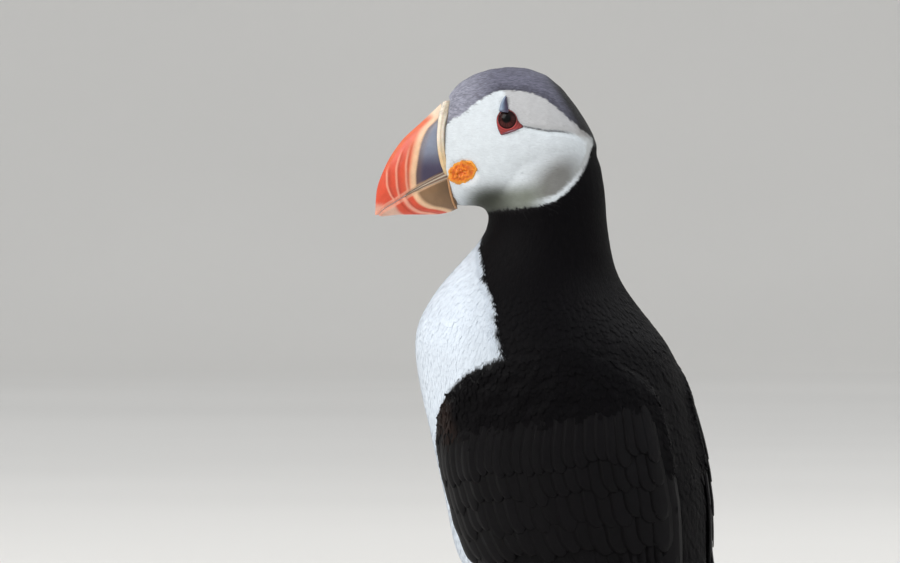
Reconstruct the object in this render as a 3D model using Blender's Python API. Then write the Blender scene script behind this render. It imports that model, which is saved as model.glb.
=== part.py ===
"""Atlantic puffin, standing alert: a life-size still model in separate, named solids.

Metres, +Z up. The body faces -Y and its left side is +X. The head is turned to the bird's left.
The origin is the centre of the bottom of the whole bird's box, on the floor between the feet.
Lengths below are written in millimetres and turned to metres by MM when a mesh is made.
"""

import math

import bmesh
import bpy
import numpy as np
from mathutils import Matrix, Vector

MM = 0.001
GAP = 0.3            # between pieces that touch
OVERSIZE = 0.35      # how much a cutter is larger than the piece it stands for

# Driving sizes
EYE_HEIGHT = 231.6
HEAD_YAW = 25.0      # degrees, to the bird's left
HEAD_FORWARD = -19.1
HEAD_LEFT = 6.4
EYE_PLACE = (0.0, 0.3)         # forward and up on the face
GAPE_PLACE = (16.4, -20.1)
EYE_RADIUS = 4.6
EYE_OPENING = 3.0    # radius of the disc that shows between the lids
BILL_RIDGE_HALF_THICKNESS = 0.75
COLLAR_HALF_THICKNESS = 8.3
GAPE = 2.4           # how far the mandibles stand apart at the corner of the mouth
GAPE_CLOSES = 0.65   # share of the mouth's length where they meet
NECK_SPLIT = 163.0   # height of the thin cut between trunk and neck
WING_THICKNESS = 4.6
WING_REAR_SHARE = 0.55   # how thick the wing still is beside the back
TAIL_HALF_WIDTH = 17.0
LEG_SPACING = 23.0   # half the distance between the legs
HEEL = (26.0, 33.0)  # back from the origin, and up
SOLE_ROOT = 19.0     # where the shank meets the foot
TOE_LENGTHS = {"inner": 27.0, "middle": 35.0, "outer": 33.0}
TOE_ANGLES = {"inner": -27.0, "middle": 0.0, "outer": 25.0}
FOOT_TURN = 10.0     # degrees, toes outwards

# The body in level slices: height, centre back of the origin, half depth, half width.
# It is the whole outline, with the folded wings on.
BODY = [
    (18.0, 76.0, 13.0, 17.0),
    (25.0, 64.0, 23.0, 24.0),
    (38.0, 43.0, 35.5, 34.0),
    (50.0, 23.6, 44.6, 41.0),
    (64.5, 9.8, 49.0, 46.0),
    (84.5, 7.7, 51.2, 49.0),
    (104.0, 4.0, 52.3, 50.0),
    (126.0, -1.6, 52.4, 50.0),
    (144.8, -7.3, 49.5, 48.0),
    (159.2, -11.8, 42.8, 41.0),
    (170.0, -12.0, 34.5, 32.0),
    (182.6, -7.6, 26.9, 24.4),
    (191.0, -4.9, 22.9, 22.0),
    (203.0, -5.0, 21.9, 21.2),
    (214.0, -5.6, 20.7, 20.2),
    (226.0, -3.6, 15.0, 14.5),
]
# Below the wings the trunk itself closes at the vent.
BELLY = [
    (27.5, 59.0, 8.0, 5.0),
    (30.5, 54.0, 20.5, 16.0),
    (35.5, 45.0, 31.5, 26.0),
    (42.0, 33.5, 39.0, 33.0),
    (50.0, 22.5, 44.0, 38.5),
]
# Front edge of the folded wing: height, degrees round the body from its front.
WING_FRONT = [(18, 100), (26, 88), (34, 77), (44, 65), (54, 56), (64.5, 48), (85, 35), (102, 32),
              (118, 44), (127, 56), (135, 72), (142, 93), (147, 122)]
WING_BACK = [(18, 118), (25, 150), (34, 163), (126, 165), (135, 158), (143, 143), (147, 128)]

# The head from nape to bill: forward of the eye, crown height, chin height, half width.
HEAD = [
    (-33.8, -8.5, -14.5, 3.8),
    (-32.5, -4.9, -19.0, 8.0),
    (-30.9, -1.7, -22.0, 10.8),
    (-27.9, 2.8, -25.6, 13.9),
    (-24.8, 7.6, -27.9, 15.8),
    (-20.8, 12.4, -29.9, 17.4),
    (-16.6, 16.2, -31.5, 18.4),
    (-12.1, 18.7, -32.6, 18.8),
    (-7.2, 20.0, -33.2, 18.6),
    (-0.8, 20.4, -33.6, 17.8),
    (4.1, 19.8, -33.5, 16.6),
    (9.6, 18.1, -33.0, 14.8),
    (14.0, 15.6, -32.4, 12.9),
    (17.6, 12.2, -32.6, 11.1),
    (19.4, 9.6, -33.0, 9.8),
    (22.6, 6.4, -33.6, 8.0),
]
# The bill's edges. The ridge is height, forward; the others are forward, height.
BILL_RIDGE = [(-35.8, 49.9), (-27.5, 49.4), (-17.4, 46.0), (-7.9, 40.0), (-0.4, 32.1), (6.4, 24.9)]
MOUTH = [(20.0, -19.6), (23.6, -21.0), (36.2, -27.2), (42.3, -30.9), (47.0, -33.9), (48.6, -35.8)]
BILL_UNDER = [(18.6, -33.4), (22.0, -34.8), (27.0, -35.6), (40.0, -35.7), (47.2, -36.4)]


def smooth_curve(points):
    """A function through the (x, y) points that never overshoots between two of them."""
    xs = np.array([p[0] for p in points], float)
    ys = np.array([p[1] for p in points], float)
    steps = np.diff(xs)
    slopes = np.diff(ys) / steps
    tangents = np.empty(len(xs))
    tangents[0], tangents[-1] = slopes[0], slopes[-1]
    for i in range(1, len(xs) - 1):
        before, after = slopes[i - 1], slopes[i]
        if before * after <= 0:
            tangents[i] = 0.0
            continue
        heavy, light = 2 * steps[i] + steps[i - 1], steps[i] + 2 * steps[i - 1]
        tangents[i] = (heavy + light) / (heavy / before + light / after)

    def value(x):
        x = float(np.clip(x, xs[0], xs[-1]))
        i = min(int(np.searchsorted(xs, x, side="right")) - 1, len(xs) - 2)
        h, t = steps[i], (x - xs[i]) / steps[i]
        return (
            ys[i] * (1 + 2 * t) * (1 - t) ** 2
            + tangents[i] * h * t * (1 - t) ** 2
            + ys[i + 1] * t * t * (3 - 2 * t)
            + tangents[i + 1] * h * t * t * (t - 1)
        )

    return value


def columns(table):
    """One smooth function for each column of the table, of its first column."""
    return [smooth_curve([(row[0], row[k]) for row in table]) for k in range(1, len(table[0]))]


BODY_CENTRE, BODY_DEPTH, BODY_WIDTH = columns(BODY)
BELLY_ROWS = BELLY + [row for row in BODY if row[0] > BELLY[-1][0]]
TRUNK_CENTRE, TRUNK_DEPTH, TRUNK_WIDTH = columns(BELLY_ROWS)
WING_INSET = smooth_curve([(30, 0.0), (50, 1.2), (66, WING_THICKNESS), (126, WING_THICKNESS), (147, 0.3)])
WING_FRONT_AT, WING_BACK_AT = smooth_curve(WING_FRONT), smooth_curve(WING_BACK)
HEAD_TOP, HEAD_BOTTOM, HEAD_WIDTH = columns(HEAD)


def rounded(angle, power):
    """Cosine and sine of a rounder or squarer circle."""
    c, s = math.cos(angle), math.sin(angle)
    return math.copysign(abs(c) ** (2 / power), c), math.copysign(abs(s) ** (2 / power), s)


def body_point(angle, height, inset=0.0, trunk=False):
    """A point on a level slice. The angle is in degrees from the front, towards the left."""
    centre, depth, width = (
        (TRUNK_CENTRE, TRUNK_DEPTH, TRUNK_WIDTH) if trunk else (BODY_CENTRE, BODY_DEPTH, BODY_WIDTH)
    )
    power = 2.0 if math.cos(math.radians(angle)) > 0 else 2.15
    c, s = rounded(math.radians(angle), power)
    side = WING_INSET(height) if trunk else 0.0
    rear = side * WING_REAR_SHARE * max(0.0, -c)
    return Vector((
        (width(height) - side - inset) * s,
        centre(height) - (depth(height) - rear - inset) * c,
        height,
    ))


# ---------------------------------------------------------------- materials

def material(name, colour, roughness, metallic=0.0):
    made = bpy.data.materials.new(name)
    made.use_nodes = True
    shader = made.node_tree.nodes["Principled BSDF"]
    shader.inputs["Base Color"].default_value = (*colour, 1.0)
    shader.inputs["Roughness"].default_value = roughness
    shader.inputs["Metallic"].default_value = metallic
    return made


def clear_scene():
    for old in list(bpy.data.objects):
        bpy.data.objects.remove(old)


# ---------------------------------------------------------------- mesh tools

def add_object(name, points, faces, finish):
    """A closed mesh from points in millimetres."""
    mesh = bpy.data.meshes.new(name)
    mesh.from_pydata([tuple(Vector(p) * MM) for p in points], [], faces)
    mesh.validate()
    shell = bmesh.new()
    shell.from_mesh(mesh)
    bmesh.ops.recalc_face_normals(shell, faces=shell.faces)
    shell.to_mesh(mesh)
    shell.free()
    mesh.materials.append(finish)
    made = bpy.data.objects.new(name, mesh)
    bpy.context.scene.collection.objects.link(made)
    mesh.shade_smooth()
    return made


def strip_cap(loop, top):
    """Closes a ring that isn't flat by strips across it, from its top point down."""
    count, faces = len(loop), []
    for j in range(count // 2):
        a, b = loop[(top + j) % count], loop[(top + j + 1) % count]
        c, d = loop[(top - j - 1) % count], loop[(top - j) % count]
        corners = [a, b, c, d]
        faces.append(tuple(dict.fromkeys(corners)))
    return faces


def loft(name, rings, finish, tips=(None, None), top=None):
    """Skins the rings in order. Each end is closed by a cap, or by a fan to its tip point."""
    count = len(rings[0])
    points = [p for ring in rings for p in ring]
    faces = []
    for r in range(len(rings) - 1):
        for k in range(count):
            a, b = r * count + k, r * count + (k + 1) % count
            faces.append((a, b, b + count, a + count))
    for tip, first in ((tips[0], 0), (tips[1], (len(rings) - 1) * count)):
        loop = list(range(first, first + count))
        if first == 0:
            loop.reverse()
        if tip is None and top is not None:
            faces.extend(strip_cap(list(range(first, first + count)), top))
            continue
        if tip is None:
            faces.append(tuple(loop))
            continue
        points.append(tip)
        for k in range(count):
            faces.append((loop[k], loop[(k + 1) % count], len(points) - 1))
    return face_outwards(add_object(name, points, faces, finish))


def signed_volume(mesh):
    mesh.calc_loop_triangles()
    total = 0.0
    for triangle in mesh.loop_triangles:
        a, b, c = (mesh.vertices[i].co for i in triangle.vertices)
        total += a.dot(b.cross(c))
    return total


def face_outwards(made):
    if signed_volume(made.data) < 0:
        made.data.flip_normals()
    return made


def cutter_of(piece, by=OVERSIZE):
    """A hidden copy of the piece, grown along its normals."""
    mesh = piece.data.copy()
    normals = [v.normal.copy() for v in mesh.vertices]
    for vertex, normal in zip(mesh.vertices, normals):
        vertex.co += normal * by * MM
    made = bpy.data.objects.new("cut_" + piece.name, mesh)
    bpy.context.scene.collection.objects.link(made)
    made.hide_render = True
    made.display_type = "WIRE"
    return made


def cut(piece, *cutters):
    for cutter in cutters:
        step = piece.modifiers.new("less_" + cutter.name, "BOOLEAN")
        step.operation = "DIFFERENCE"
        step.solver = "EXACT"
        step.object = cutter


def mirrored_sides():
    return (("left", 1), ("right", -1))


# ---------------------------------------------------------------- trunk and neck

def body_rings(heights, columns_round, trunk=True):
    return [
        [body_point(360 * k / columns_round, z, trunk=trunk) for k in range(columns_round)]
        for z in heights
    ]


def build_trunk(finish):
    low, high = BELLY[0][0], NECK_SPLIT - GAP / 2
    heights = [27.5, 28.7, 31.6, 36.5, 42, 49, 57, 66, 77, 89, 102, 115, 127, 138, 147, 154.5, high]
    foot = Vector((0, TRUNK_CENTRE(low), low - 0.8))
    return loft("trunk", body_rings(heights, 32), finish, tips=(foot, None))


def build_neck(finish):
    low = NECK_SPLIT + GAP / 2
    heights = [low, 170, 176.5, 183, 190, 198, 206, 214, 221, 226]
    return loft("neck", body_rings(heights, 32), finish)


# ---------------------------------------------------------------- head

def head_to_world():
    """Head coordinates are forward of the eye, left of the middle plane, and up."""
    place = Matrix.Translation((HEAD_LEFT, HEAD_FORWARD, EYE_HEIGHT))
    return place @ Matrix.Rotation(math.radians(HEAD_YAW), 4, "Z") @ Matrix(
        ((0, 1, 0, 0), (-1, 0, 0, 0), (0, 0, 1, 0), (0, 0, 0, 1))
    )


HEAD_FRAME = head_to_world()


def head_vector(forward, left, up):
    return HEAD_FRAME @ Vector((forward, left, up))


def head_section(forward):
    """Height of the widest place, height above it, height below it, half width."""
    top, bottom = HEAD_TOP(forward), HEAD_BOTTOM(forward)
    widest = bottom + 0.46 * (top - bottom)
    return widest, top - widest, widest - bottom, HEAD_WIDTH(forward)


def head_half_width(forward, up):
    widest, above, below, width = head_section(forward)
    reach, power = (above, 1.95) if up > widest else (below, 2.3)
    return width * max(0.0, 1 - (abs(up - widest) / reach) ** power) ** (1 / power)


def head_lean(forward):
    """How far forward the top of a slice leans, so that the last one is the bill's base."""
    return 0.13 * max(0.0, min(1.0, (forward + 2) / 24))


def collar_line(up):
    """Forward place of the ridge at the bill's base, bowed forwards in its middle."""
    return 25.3 - 0.0133 * (up + 6.5) ** 2


def head_front(up):
    """Where the head meets the bill: behind the ridge above, and square to the chin below."""
    return collar_line(max(up, -21.0)) + 0.23 * min(0.0, up + 21.0)


def build_head(finish):
    stations = [-33.8, -32.5, -30, -26, -21, -15, -8, -1, 5, 10.5, 15, 17.6, 19.4, 22.6]
    rings = []
    for forward in stations:
        widest, above, below, width = head_section(forward)
        ring = []
        for k in range(28):
            angle = 2 * math.pi * k / 28
            power = 1.95 if math.sin(angle) > 0 else 2.3
            c, s = rounded(angle, power)
            up = widest + s * (above if s > 0 else below)
            place = forward + head_lean(forward) * (up - widest)
            if forward == stations[-1]:
                place = head_front(up)
            ring.append(head_vector(place, width * c, up))
        rings.append(ring)
    nape = head_vector(-34.3, 0, -10)
    return loft("head", rings, finish, tips=(nape, None), top=7)


# ---------------------------------------------------------------- bill

RIDGE_AT, MOUTH_AT, UNDER_AT = (smooth_curve(line) for line in (BILL_RIDGE, MOUTH, BILL_UNDER))
UPPER_BASE, LOWER_BASE = 23.6, 20.6


def ridge_point(turn):
    """On the ridge of the bill: turn 0 at the forehead, 1 at the tip."""
    up = BILL_RIDGE[-1][0] + (BILL_RIDGE[0][0] - BILL_RIDGE[-1][0]) * turn
    return RIDGE_AT(up), up


def mouth_point(turn, base):
    forward = base + (MOUTH[-1][0] - base) * turn
    return forward, MOUTH_AT(forward)


def upper_edge(turn):
    return mouth_point(turn, UPPER_BASE)


def lower_edge(turn):
    return mouth_point(turn, LOWER_BASE)


def under_point(turn):
    """On the lower edge of the bill."""
    forward = BILL_UNDER[0][0] + (BILL_UNDER[-1][0] - BILL_UNDER[0][0]) * turn
    return forward, UNDER_AT(forward)


UPPER_WIDTH = smooth_curve([(0, 7.6), (0.3, 6.2), (0.6, 4.5), (0.85, 2.7), (1, 1.1)])
LOWER_WIDTH = smooth_curve([(0, 6.7), (0.4, 5.2), (0.75, 3.3), (1, 1.2)])


def mandible(name, edge, ridge, width, ridge_half, stations, finish, opens):
    """A mandible between its cutting edge and its ridge. opens is +1 above the mouth, -1 below."""
    rings = []
    for turn in stations:
        gap = GAP / 2 + GAPE / 2 * max(0.0, 1 - turn / GAPE_CLOSES)
        low, high = Vector(edge(turn)), Vector(ridge(turn))
        low = low + Vector((0, opens * gap))
        half = width(turn)
        side = []
        for share in (0.0, 0.12, 0.3, 0.5, 0.7, 0.86, 0.96):
            flank = half * (1 - share ** 2.6) ** 0.62 * (0.9 + 0.1 * min(1, share / 0.3))
            at = low.lerp(high, share)
            side.append((at.x, max(flank, ridge_half * min(1.0, half)), at.y))
        ring = [head_vector(*p) for p in side]
        ring.append(head_vector(high.x, 0, high.y))
        ring += [head_vector(p[0], -p[1], p[2]) for p in reversed(side)]
        inner = low.lerp(high, 0.10)
        ring.append(head_vector(inner.x, 0, inner.y))
        rings.append(ring)
    return loft(name, rings, finish)


def build_bill(horn):
    upper = mandible(
        "bill_upper", upper_edge, ridge_point, UPPER_WIDTH, BILL_RIDGE_HALF_THICKNESS,
        [0, 0.12, 0.25, 0.38, 0.5, 0.62, 0.73, 0.83, 0.91, 0.97, 1.0], horn, 1,
    )
    lower = mandible(
        "bill_lower", lower_edge, under_point, LOWER_WIDTH, 0.9,
        [0.0, 0.15, 0.32, 0.5, 0.66, 0.8, 0.9, 0.97], horn, -1,
    )
    return upper, lower


def build_bill_base(skin):
    """The pale raised ridge between the face and the upper mandible."""
    low, high = -21.3, 8.0
    rings = []
    for back, swell in ((-1.1, 0.0), (-0.6, 0.6), (0.5, 0.6), (1.0, 0.0)):
        ring = []
        for k in range(24):
            c, s = rounded(2 * math.pi * k / 24, 2.2)
            up = (high + low) / 2 + s * ((high - low) / 2 + swell)
            thick = COLLAR_HALF_THICKNESS - 1.3 * max(0.0, s) + swell
            ring.append(head_vector(collar_line(up) + back, thick * c, up))
        rings.append(ring)
    return loft("bill_base_ridge", rings, skin, top=6)


# ---------------------------------------------------------------- round pieces on the head

def ellipsoid(name, centre, axes, sizes, finish, around=14, along=8):
    """axes are three unit vectors in the row frame and sizes the three half sizes along them."""
    rings = []
    for j in range(1, along):
        polar = math.pi * j / along
        ring = []
        for k in range(around):
            angle = 2 * math.pi * k / around
            offset = (
                axes[0] * (sizes[0] * math.sin(polar) * math.cos(angle))
                + axes[1] * (sizes[1] * math.sin(polar) * math.sin(angle))
                + axes[2] * (sizes[2] * math.cos(polar))
            )
            ring.append(centre + offset)
        rings.append(ring)
    tips = (centre + axes[2] * sizes[2], centre - axes[2] * sizes[2])
    return loft(name, rings, finish, tips=tips)


def face_axes(forward, up, side, turn=0.0):
    """Axes at a place on the face: along it and forward, along it and up, and out of it."""
    step = 1.5
    wide = head_half_width(forward, up)
    along = Vector((step, side * (head_half_width(forward + step, up) - wide), 0)).normalized()
    rise = Vector((0, side * (head_half_width(forward, up + step) - wide), step)).normalized()
    out = along.cross(rise)
    if out.y * side < 0:
        out.negate()
    rise = (out.cross(along) * side).normalized()
    if rise.z < 0:
        rise.negate()
    spin = Matrix.Rotation(math.radians(turn) * side, 3, out)
    turned = [spin @ along, spin @ rise, out]
    frame = HEAD_FRAME.to_3x3()
    return [(frame @ axis).normalized() for axis in turned]


def on_face(forward, up, side, depth=0.0):
    axes = face_axes(forward, up, side)
    return head_vector(forward, side * head_half_width(forward, up), up) - axes[2] * depth


def build_eyes(finish):
    sink = math.sqrt(EYE_RADIUS ** 2 - EYE_OPENING ** 2) - 0.2
    eyes = []
    for word, side in mirrored_sides():
        centre = on_face(*EYE_PLACE, side, sink)
        axes = face_axes(*EYE_PLACE, side)
        eyes.append(ellipsoid("eye_" + word, centre, axes, (EYE_RADIUS,) * 3, finish))
    return eyes


def build_eye_plates(finish):
    """The horny plate above each eye and the narrow bar below it."""
    plates = []
    for word, side in mirrored_sides():
        for part, forward, up, sizes, turn in (
            ("upper", 0.9, 6.3, (1.15, 2.8, 0.8), 5),
            ("lower", -1.5, -4.3, (3.3, 0.7, 0.7), 13),
        ):
            made = ellipsoid(
                f"eye_plate_{part}_{word}", on_face(forward, up, side, 0.15),
                face_axes(forward, up, side, turn), sizes, finish, around=10, along=5,
            )
            plates.append(made)
    return plates


def build_gapes(finish):
    """The wrinkled skin at each corner of the mouth."""
    made = []
    for word, side in mirrored_sides():
        made.append(ellipsoid(
            "gape_" + word, on_face(*GAPE_PLACE, side, 0.5),
            face_axes(*GAPE_PLACE, side, -24), (5.7, 4.5, 1.8), finish, around=14, along=7,
        ))
    return made


# ---------------------------------------------------------------- wings and tail

def build_wings(finish):
    heights = [18.6, 21, 25, 31, 38, 46, 55, 65, 76, 88, 100, 111, 121, 129, 136, 141.5, 145.5]
    across = 9
    inner_depth = smooth_curve([(18, 1.6), (30, 2.4), (52, 4.5), (66, 6.5), (147, 6.5)])
    wings = []
    for word, side in mirrored_sides():
        outer, inner = [], []
        for z in heights:
            front, back = WING_FRONT_AT(z), WING_BACK_AT(z)
            for k in range(across):
                share = k / (across - 1)
                angle = front + (back - front) * share
                edge = min(1.0, 5 * share + 0.25, 6 * (1 - share) + 0.2)
                deep = inner_depth(z)
                skin = body_point(angle, z, inset=-0.5 * edge + 0.25)
                under = body_point(angle, z, inset=max(0.9, deep * (0.45 + 0.55 * edge)))
                outer.append(Vector((side * skin.x, skin.y, skin.z)))
                inner.append(Vector((side * under.x, under.y, under.z)))
        points, faces, rows = outer + inner, [], len(heights)
        far = rows * across
        for r in range(rows - 1):
            for k in range(across - 1):
                a = r * across + k
                faces.append((a, a + 1, a + 1 + across, a + across))
                b = a + far
                faces.append((b + across, b + 1 + across, b + 1, b))
        rim = [k for k in range(across)]
        rim += [r * across + across - 1 for r in range(1, rows)]
        rim += [(rows - 1) * across + k for k in range(across - 2, -1, -1)]
        rim += [r * across for r in range(rows - 2, 0, -1)]
        for i, a in enumerate(rim):
            b = rim[(i + 1) % len(rim)]
            faces.append((a, a + far, b + far, b))
        wings.append(face_outwards(add_object("wing_" + word, points, faces, finish)))
    return wings


def tail_arch(across, share):
    """The sides of the tail hang lower than its middle."""
    return 3.0 * share * across ** 2


def build_tail(finish):
    """Short, rounded, a little arched, leaning back and down to just above the floor."""
    root, tip = Vector((0, 54, 44)), Vector((0, 90, 9.5))
    along = (tip - root).normalized()
    across = Vector((1, 0, 0))
    upward = across.cross(along).normalized()
    rings = []
    for share, half, thick in (
        (0.0, 8, 4.0), (0.3, 11, 3.8), (0.55, 14, 2.9), (0.75, 16, 2.1), (0.9, TAIL_HALF_WIDTH, 1.4),
    ):
        at = root.lerp(tip, share)
        ring = []
        for k in range(20):
            c, s = rounded(2 * math.pi * k / 20, 2.3)
            ring.append(at + across * half * c + upward * (thick * s - tail_arch(c, share)))
        rings.append(ring)
    end = []
    for k in range(20):
        c, s = rounded(2 * math.pi * k / 20, 2.3)
        reach = root.lerp(tip, 0.9 + 0.1 * math.sqrt(max(0.0, 1 - (0.86 * c) ** 2)))
        end.append(reach + across * (TAIL_HALF_WIDTH - 0.7) * c + upward * (0.7 * s - tail_arch(c, 1)))
    rings.append(end)
    return loft("tail", rings, finish)


# ---------------------------------------------------------------- legs and feet

def tube(name, stations, finish, around=12, tips=(None, None)):
    """stations: centre, half width sideways, half depth. Slices are square to the tube's run."""
    rings = []
    for i, (centre, wide, deep) in enumerate(stations):
        before = stations[max(0, i - 1)][0]
        after = stations[min(len(stations) - 1, i + 1)][0]
        run = (after - before).normalized()
        side = Vector((1, 0, 0)) - run * run.x
        side.normalize()
        front = run.cross(side)
        ring = []
        for k in range(around):
            angle = 2 * math.pi * k / around
            ring.append(centre + side * wide * math.cos(angle) + front * deep * math.sin(angle))
        rings.append(ring)
    return loft(name, rings, finish, tips=tips)


def build_thigh(word, side, finish):
    """The feathered part of the leg that shows below the belly."""
    x = side * LEG_SPACING
    heel = Vector((x, *HEEL))
    stations = [
        (Vector((side * 19, 8, 62)), 12, 17),
        (Vector((side * 20.5, 15, 50)), 10.5, 15),
        (Vector((x * 0.96, 20.5, 42)), 8.0, 10.5),
        (Vector((x * 0.99, 24, 36.5)), 5.4, 6.4),
        (heel + Vector((0, 0, 0.6)), 3.9, 4.4),
    ]
    return tube("thigh_" + word, stations, finish, around=16)


def build_shank(word, side, finish):
    x = side * LEG_SPACING
    top, bottom = Vector((x, HEEL[0] + 0.2, HEEL[1] + 1.5)), Vector((x, SOLE_ROOT, 3.0))
    stations = [(top, 3.3, 3.9)]
    sections = ((0.12, 3.2, 3.9), (0.28, 2.3, 3.0), (0.6, 2.1, 2.8), (0.85, 2.5, 3.2), (1.0, 3.0, 3.7))
    for share, wide, deep in sections:
        stations.append((top.lerp(bottom, share), wide, deep))
    return tube("shank_" + word, stations, finish, around=12)


def foot_frame(side):
    turn = Matrix.Rotation(math.radians(FOOT_TURN) * side, 4, "Z")
    return Matrix.Translation((side * LEG_SPACING, SOLE_ROOT, 0)) @ turn


def toe_reach(angle):
    """Edge of the foot at an angle from its middle toe: long at each toe, hollow in the web between."""
    toes = sorted((TOE_ANGLES[k], TOE_LENGTHS[k]) for k in TOE_ANGLES)
    if angle <= toes[0][0]:
        return toes[0][1]
    for (low, long_low), (high, long_high) in zip(toes, toes[1:]):
        if angle <= high:
            share = (angle - low) / (high - low)
            straight = long_low + (long_high - long_low) * share
            return straight - 6.0 * math.sin(math.pi * share) ** 0.75
    return toes[-1][1]


def toe_height(reach, angle):
    """Height of the upper side: toes stand up as ridges out of the thin web."""
    height = 1.1
    for key, at in TOE_ANGLES.items():
        off = reach * math.radians(angle - at)
        swell = 3.3 - 1.5 * reach / TOE_LENGTHS[key]
        knuckle = 0.35 * math.cos(2 * math.pi * reach / (TOE_LENGTHS[key] / 2.6))
        height = max(height, (swell + knuckle) * math.exp(-(off / 2.3) ** 2))
    ankle = 3.6 * math.exp(-((reach / 5.5) ** 2))
    return max(height, ankle)


def build_foot(word, side, finish):
    """One webbed foot with a flat sole, as a fan of columns about the ankle."""
    reaches = [0.16, 0.34, 0.52, 0.7, 0.86, 1.0]
    edge_angles = [TOE_ANGLES["inner"] - 7, TOE_ANGLES["outer"] + 7]
    offsets = (-5.2, -1.6, 1.6, 5.2)
    angles = sorted(
        [at + off for at in TOE_ANGLES.values() for off in offsets]
        + [(TOE_ANGLES["inner"] + TOE_ANGLES["middle"]) / 2, (TOE_ANGLES["outer"] + TOE_ANGLES["middle"]) / 2]
    )
    frame = foot_frame(side)
    heel = 5.0
    top, sole = [], []
    for angle in angles:
        inside = min(max(angle, TOE_ANGLES["inner"]), TOE_ANGLES["outer"])
        overhang = abs(angle - inside)
        full = toe_reach(inside) * (1 - 0.012 * overhang)
        for share in reaches:
            reach = full * share
            direction = math.radians(angle)
            x, y = reach * math.sin(direction) * side, -reach * math.cos(direction)
            height = toe_height(reach, angle)
            if share == 1.0:
                height *= 0.55
            elif overhang > 3:
                height = max(0.9, height * 0.6)
            top.append(frame @ Vector((x, y, height)))
            sole.append(frame @ Vector((x, y, 0)))
    back_top = [frame @ Vector((0, -0.5, 3.6)), frame @ Vector((0, heel, 1.6))]
    back_sole = [frame @ Vector((0, -0.5, 0)), frame @ Vector((0, heel - 0.6, 0))]
    points = top + sole + back_top + back_sole
    far, rows, n = len(top), len(reaches), len(angles)
    crown, heel_top, middle, heel_sole = 2 * far, 2 * far + 1, 2 * far + 2, 2 * far + 3
    faces = []
    for a in range(n - 1):
        for r in range(rows - 1):
            i = a * rows + r
            faces.append((i, i + rows, i + rows + 1, i + 1))
            faces.append((i + far + 1, i + far + rows + 1, i + far + rows, i + far))
        i = a * rows
        faces.append((crown, i + rows, i))
        faces.append((middle, i + far, i + far + rows))
        tip = a * rows + rows - 1
        faces.append((tip, tip + rows, tip + rows + far, tip + far))
    for column in (0, n - 1):
        flip = column == 0
        for r in range(rows - 1):
            i = column * rows + r
            quad = (i, i + 1, i + 1 + far, i + far)
            faces.append(quad if flip else quad[::-1])
        i = column * rows
        fan = [(crown, i, heel_top), (middle, heel_sole, i + far), (heel_top, i, i + far, heel_sole)]
        for face in fan:
            faces.append(face[::-1] if flip else face)
    made = add_object("foot_" + word, points, faces, finish)
    return face_outwards(made)


def build_claws(word, side, finish):
    """Curved claws, one at each toe's end, a hair clear of the floor."""
    frame = foot_frame(side)
    claws = []
    for key, at in TOE_ANGLES.items():
        direction = math.radians(at)
        ahead = Vector((math.sin(direction) * side, -math.cos(direction), 0))
        sideways = Vector((0, 0, 1)).cross(ahead)
        root = ahead * (TOE_LENGTHS[key] - 0.5)
        rings = []
        for turn, half in ((0.0, 1.05), (0.35, 0.9), (0.7, 0.6)):
            bend = math.radians(75) * turn
            height = 1.75 - 0.9 * turn + 0.9 * math.sin(math.pi * turn)
            middle = root + ahead * (5.6 * math.sin(bend)) + Vector((0, 0, height))
            up = Vector((0, 0, 1)) * math.cos(bend * 0.6) + ahead * math.sin(bend * 0.6)
            ring = []
            for k in range(8):
                angle = 2 * math.pi * k / 8
                across = sideways * half * 0.85 * math.cos(angle)
                ring.append(frame @ (middle + across + up * half * math.sin(angle)))
            rings.append(ring)
        tip = frame @ (root + ahead * 6.4 + Vector((0, 0, 0.45)))
        claws.append(loft(f"claw_{key}_{word}", rings, finish, tips=(None, tip)))
    return claws


# ---------------------------------------------------------------- assembly

def stand_on_origin():
    """Moves the whole bird so that the centre of its box's bottom is the origin."""
    bpy.context.view_layer.update()
    graph = bpy.context.evaluated_depsgraph_get()
    low, high = Vector((1e9,) * 3), Vector((-1e9,) * 3)
    for piece in bpy.data.objects:
        if piece.hide_render:
            continue
        for corner in piece.evaluated_get(graph).bound_box:
            low = Vector(map(min, low, corner))
            high = Vector(map(max, high, corner))
    shift = Vector((-(low.x + high.x) / 2, -(low.y + high.y) / 2, -low.z))
    for piece in bpy.data.objects:
        piece.location = shift


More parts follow.
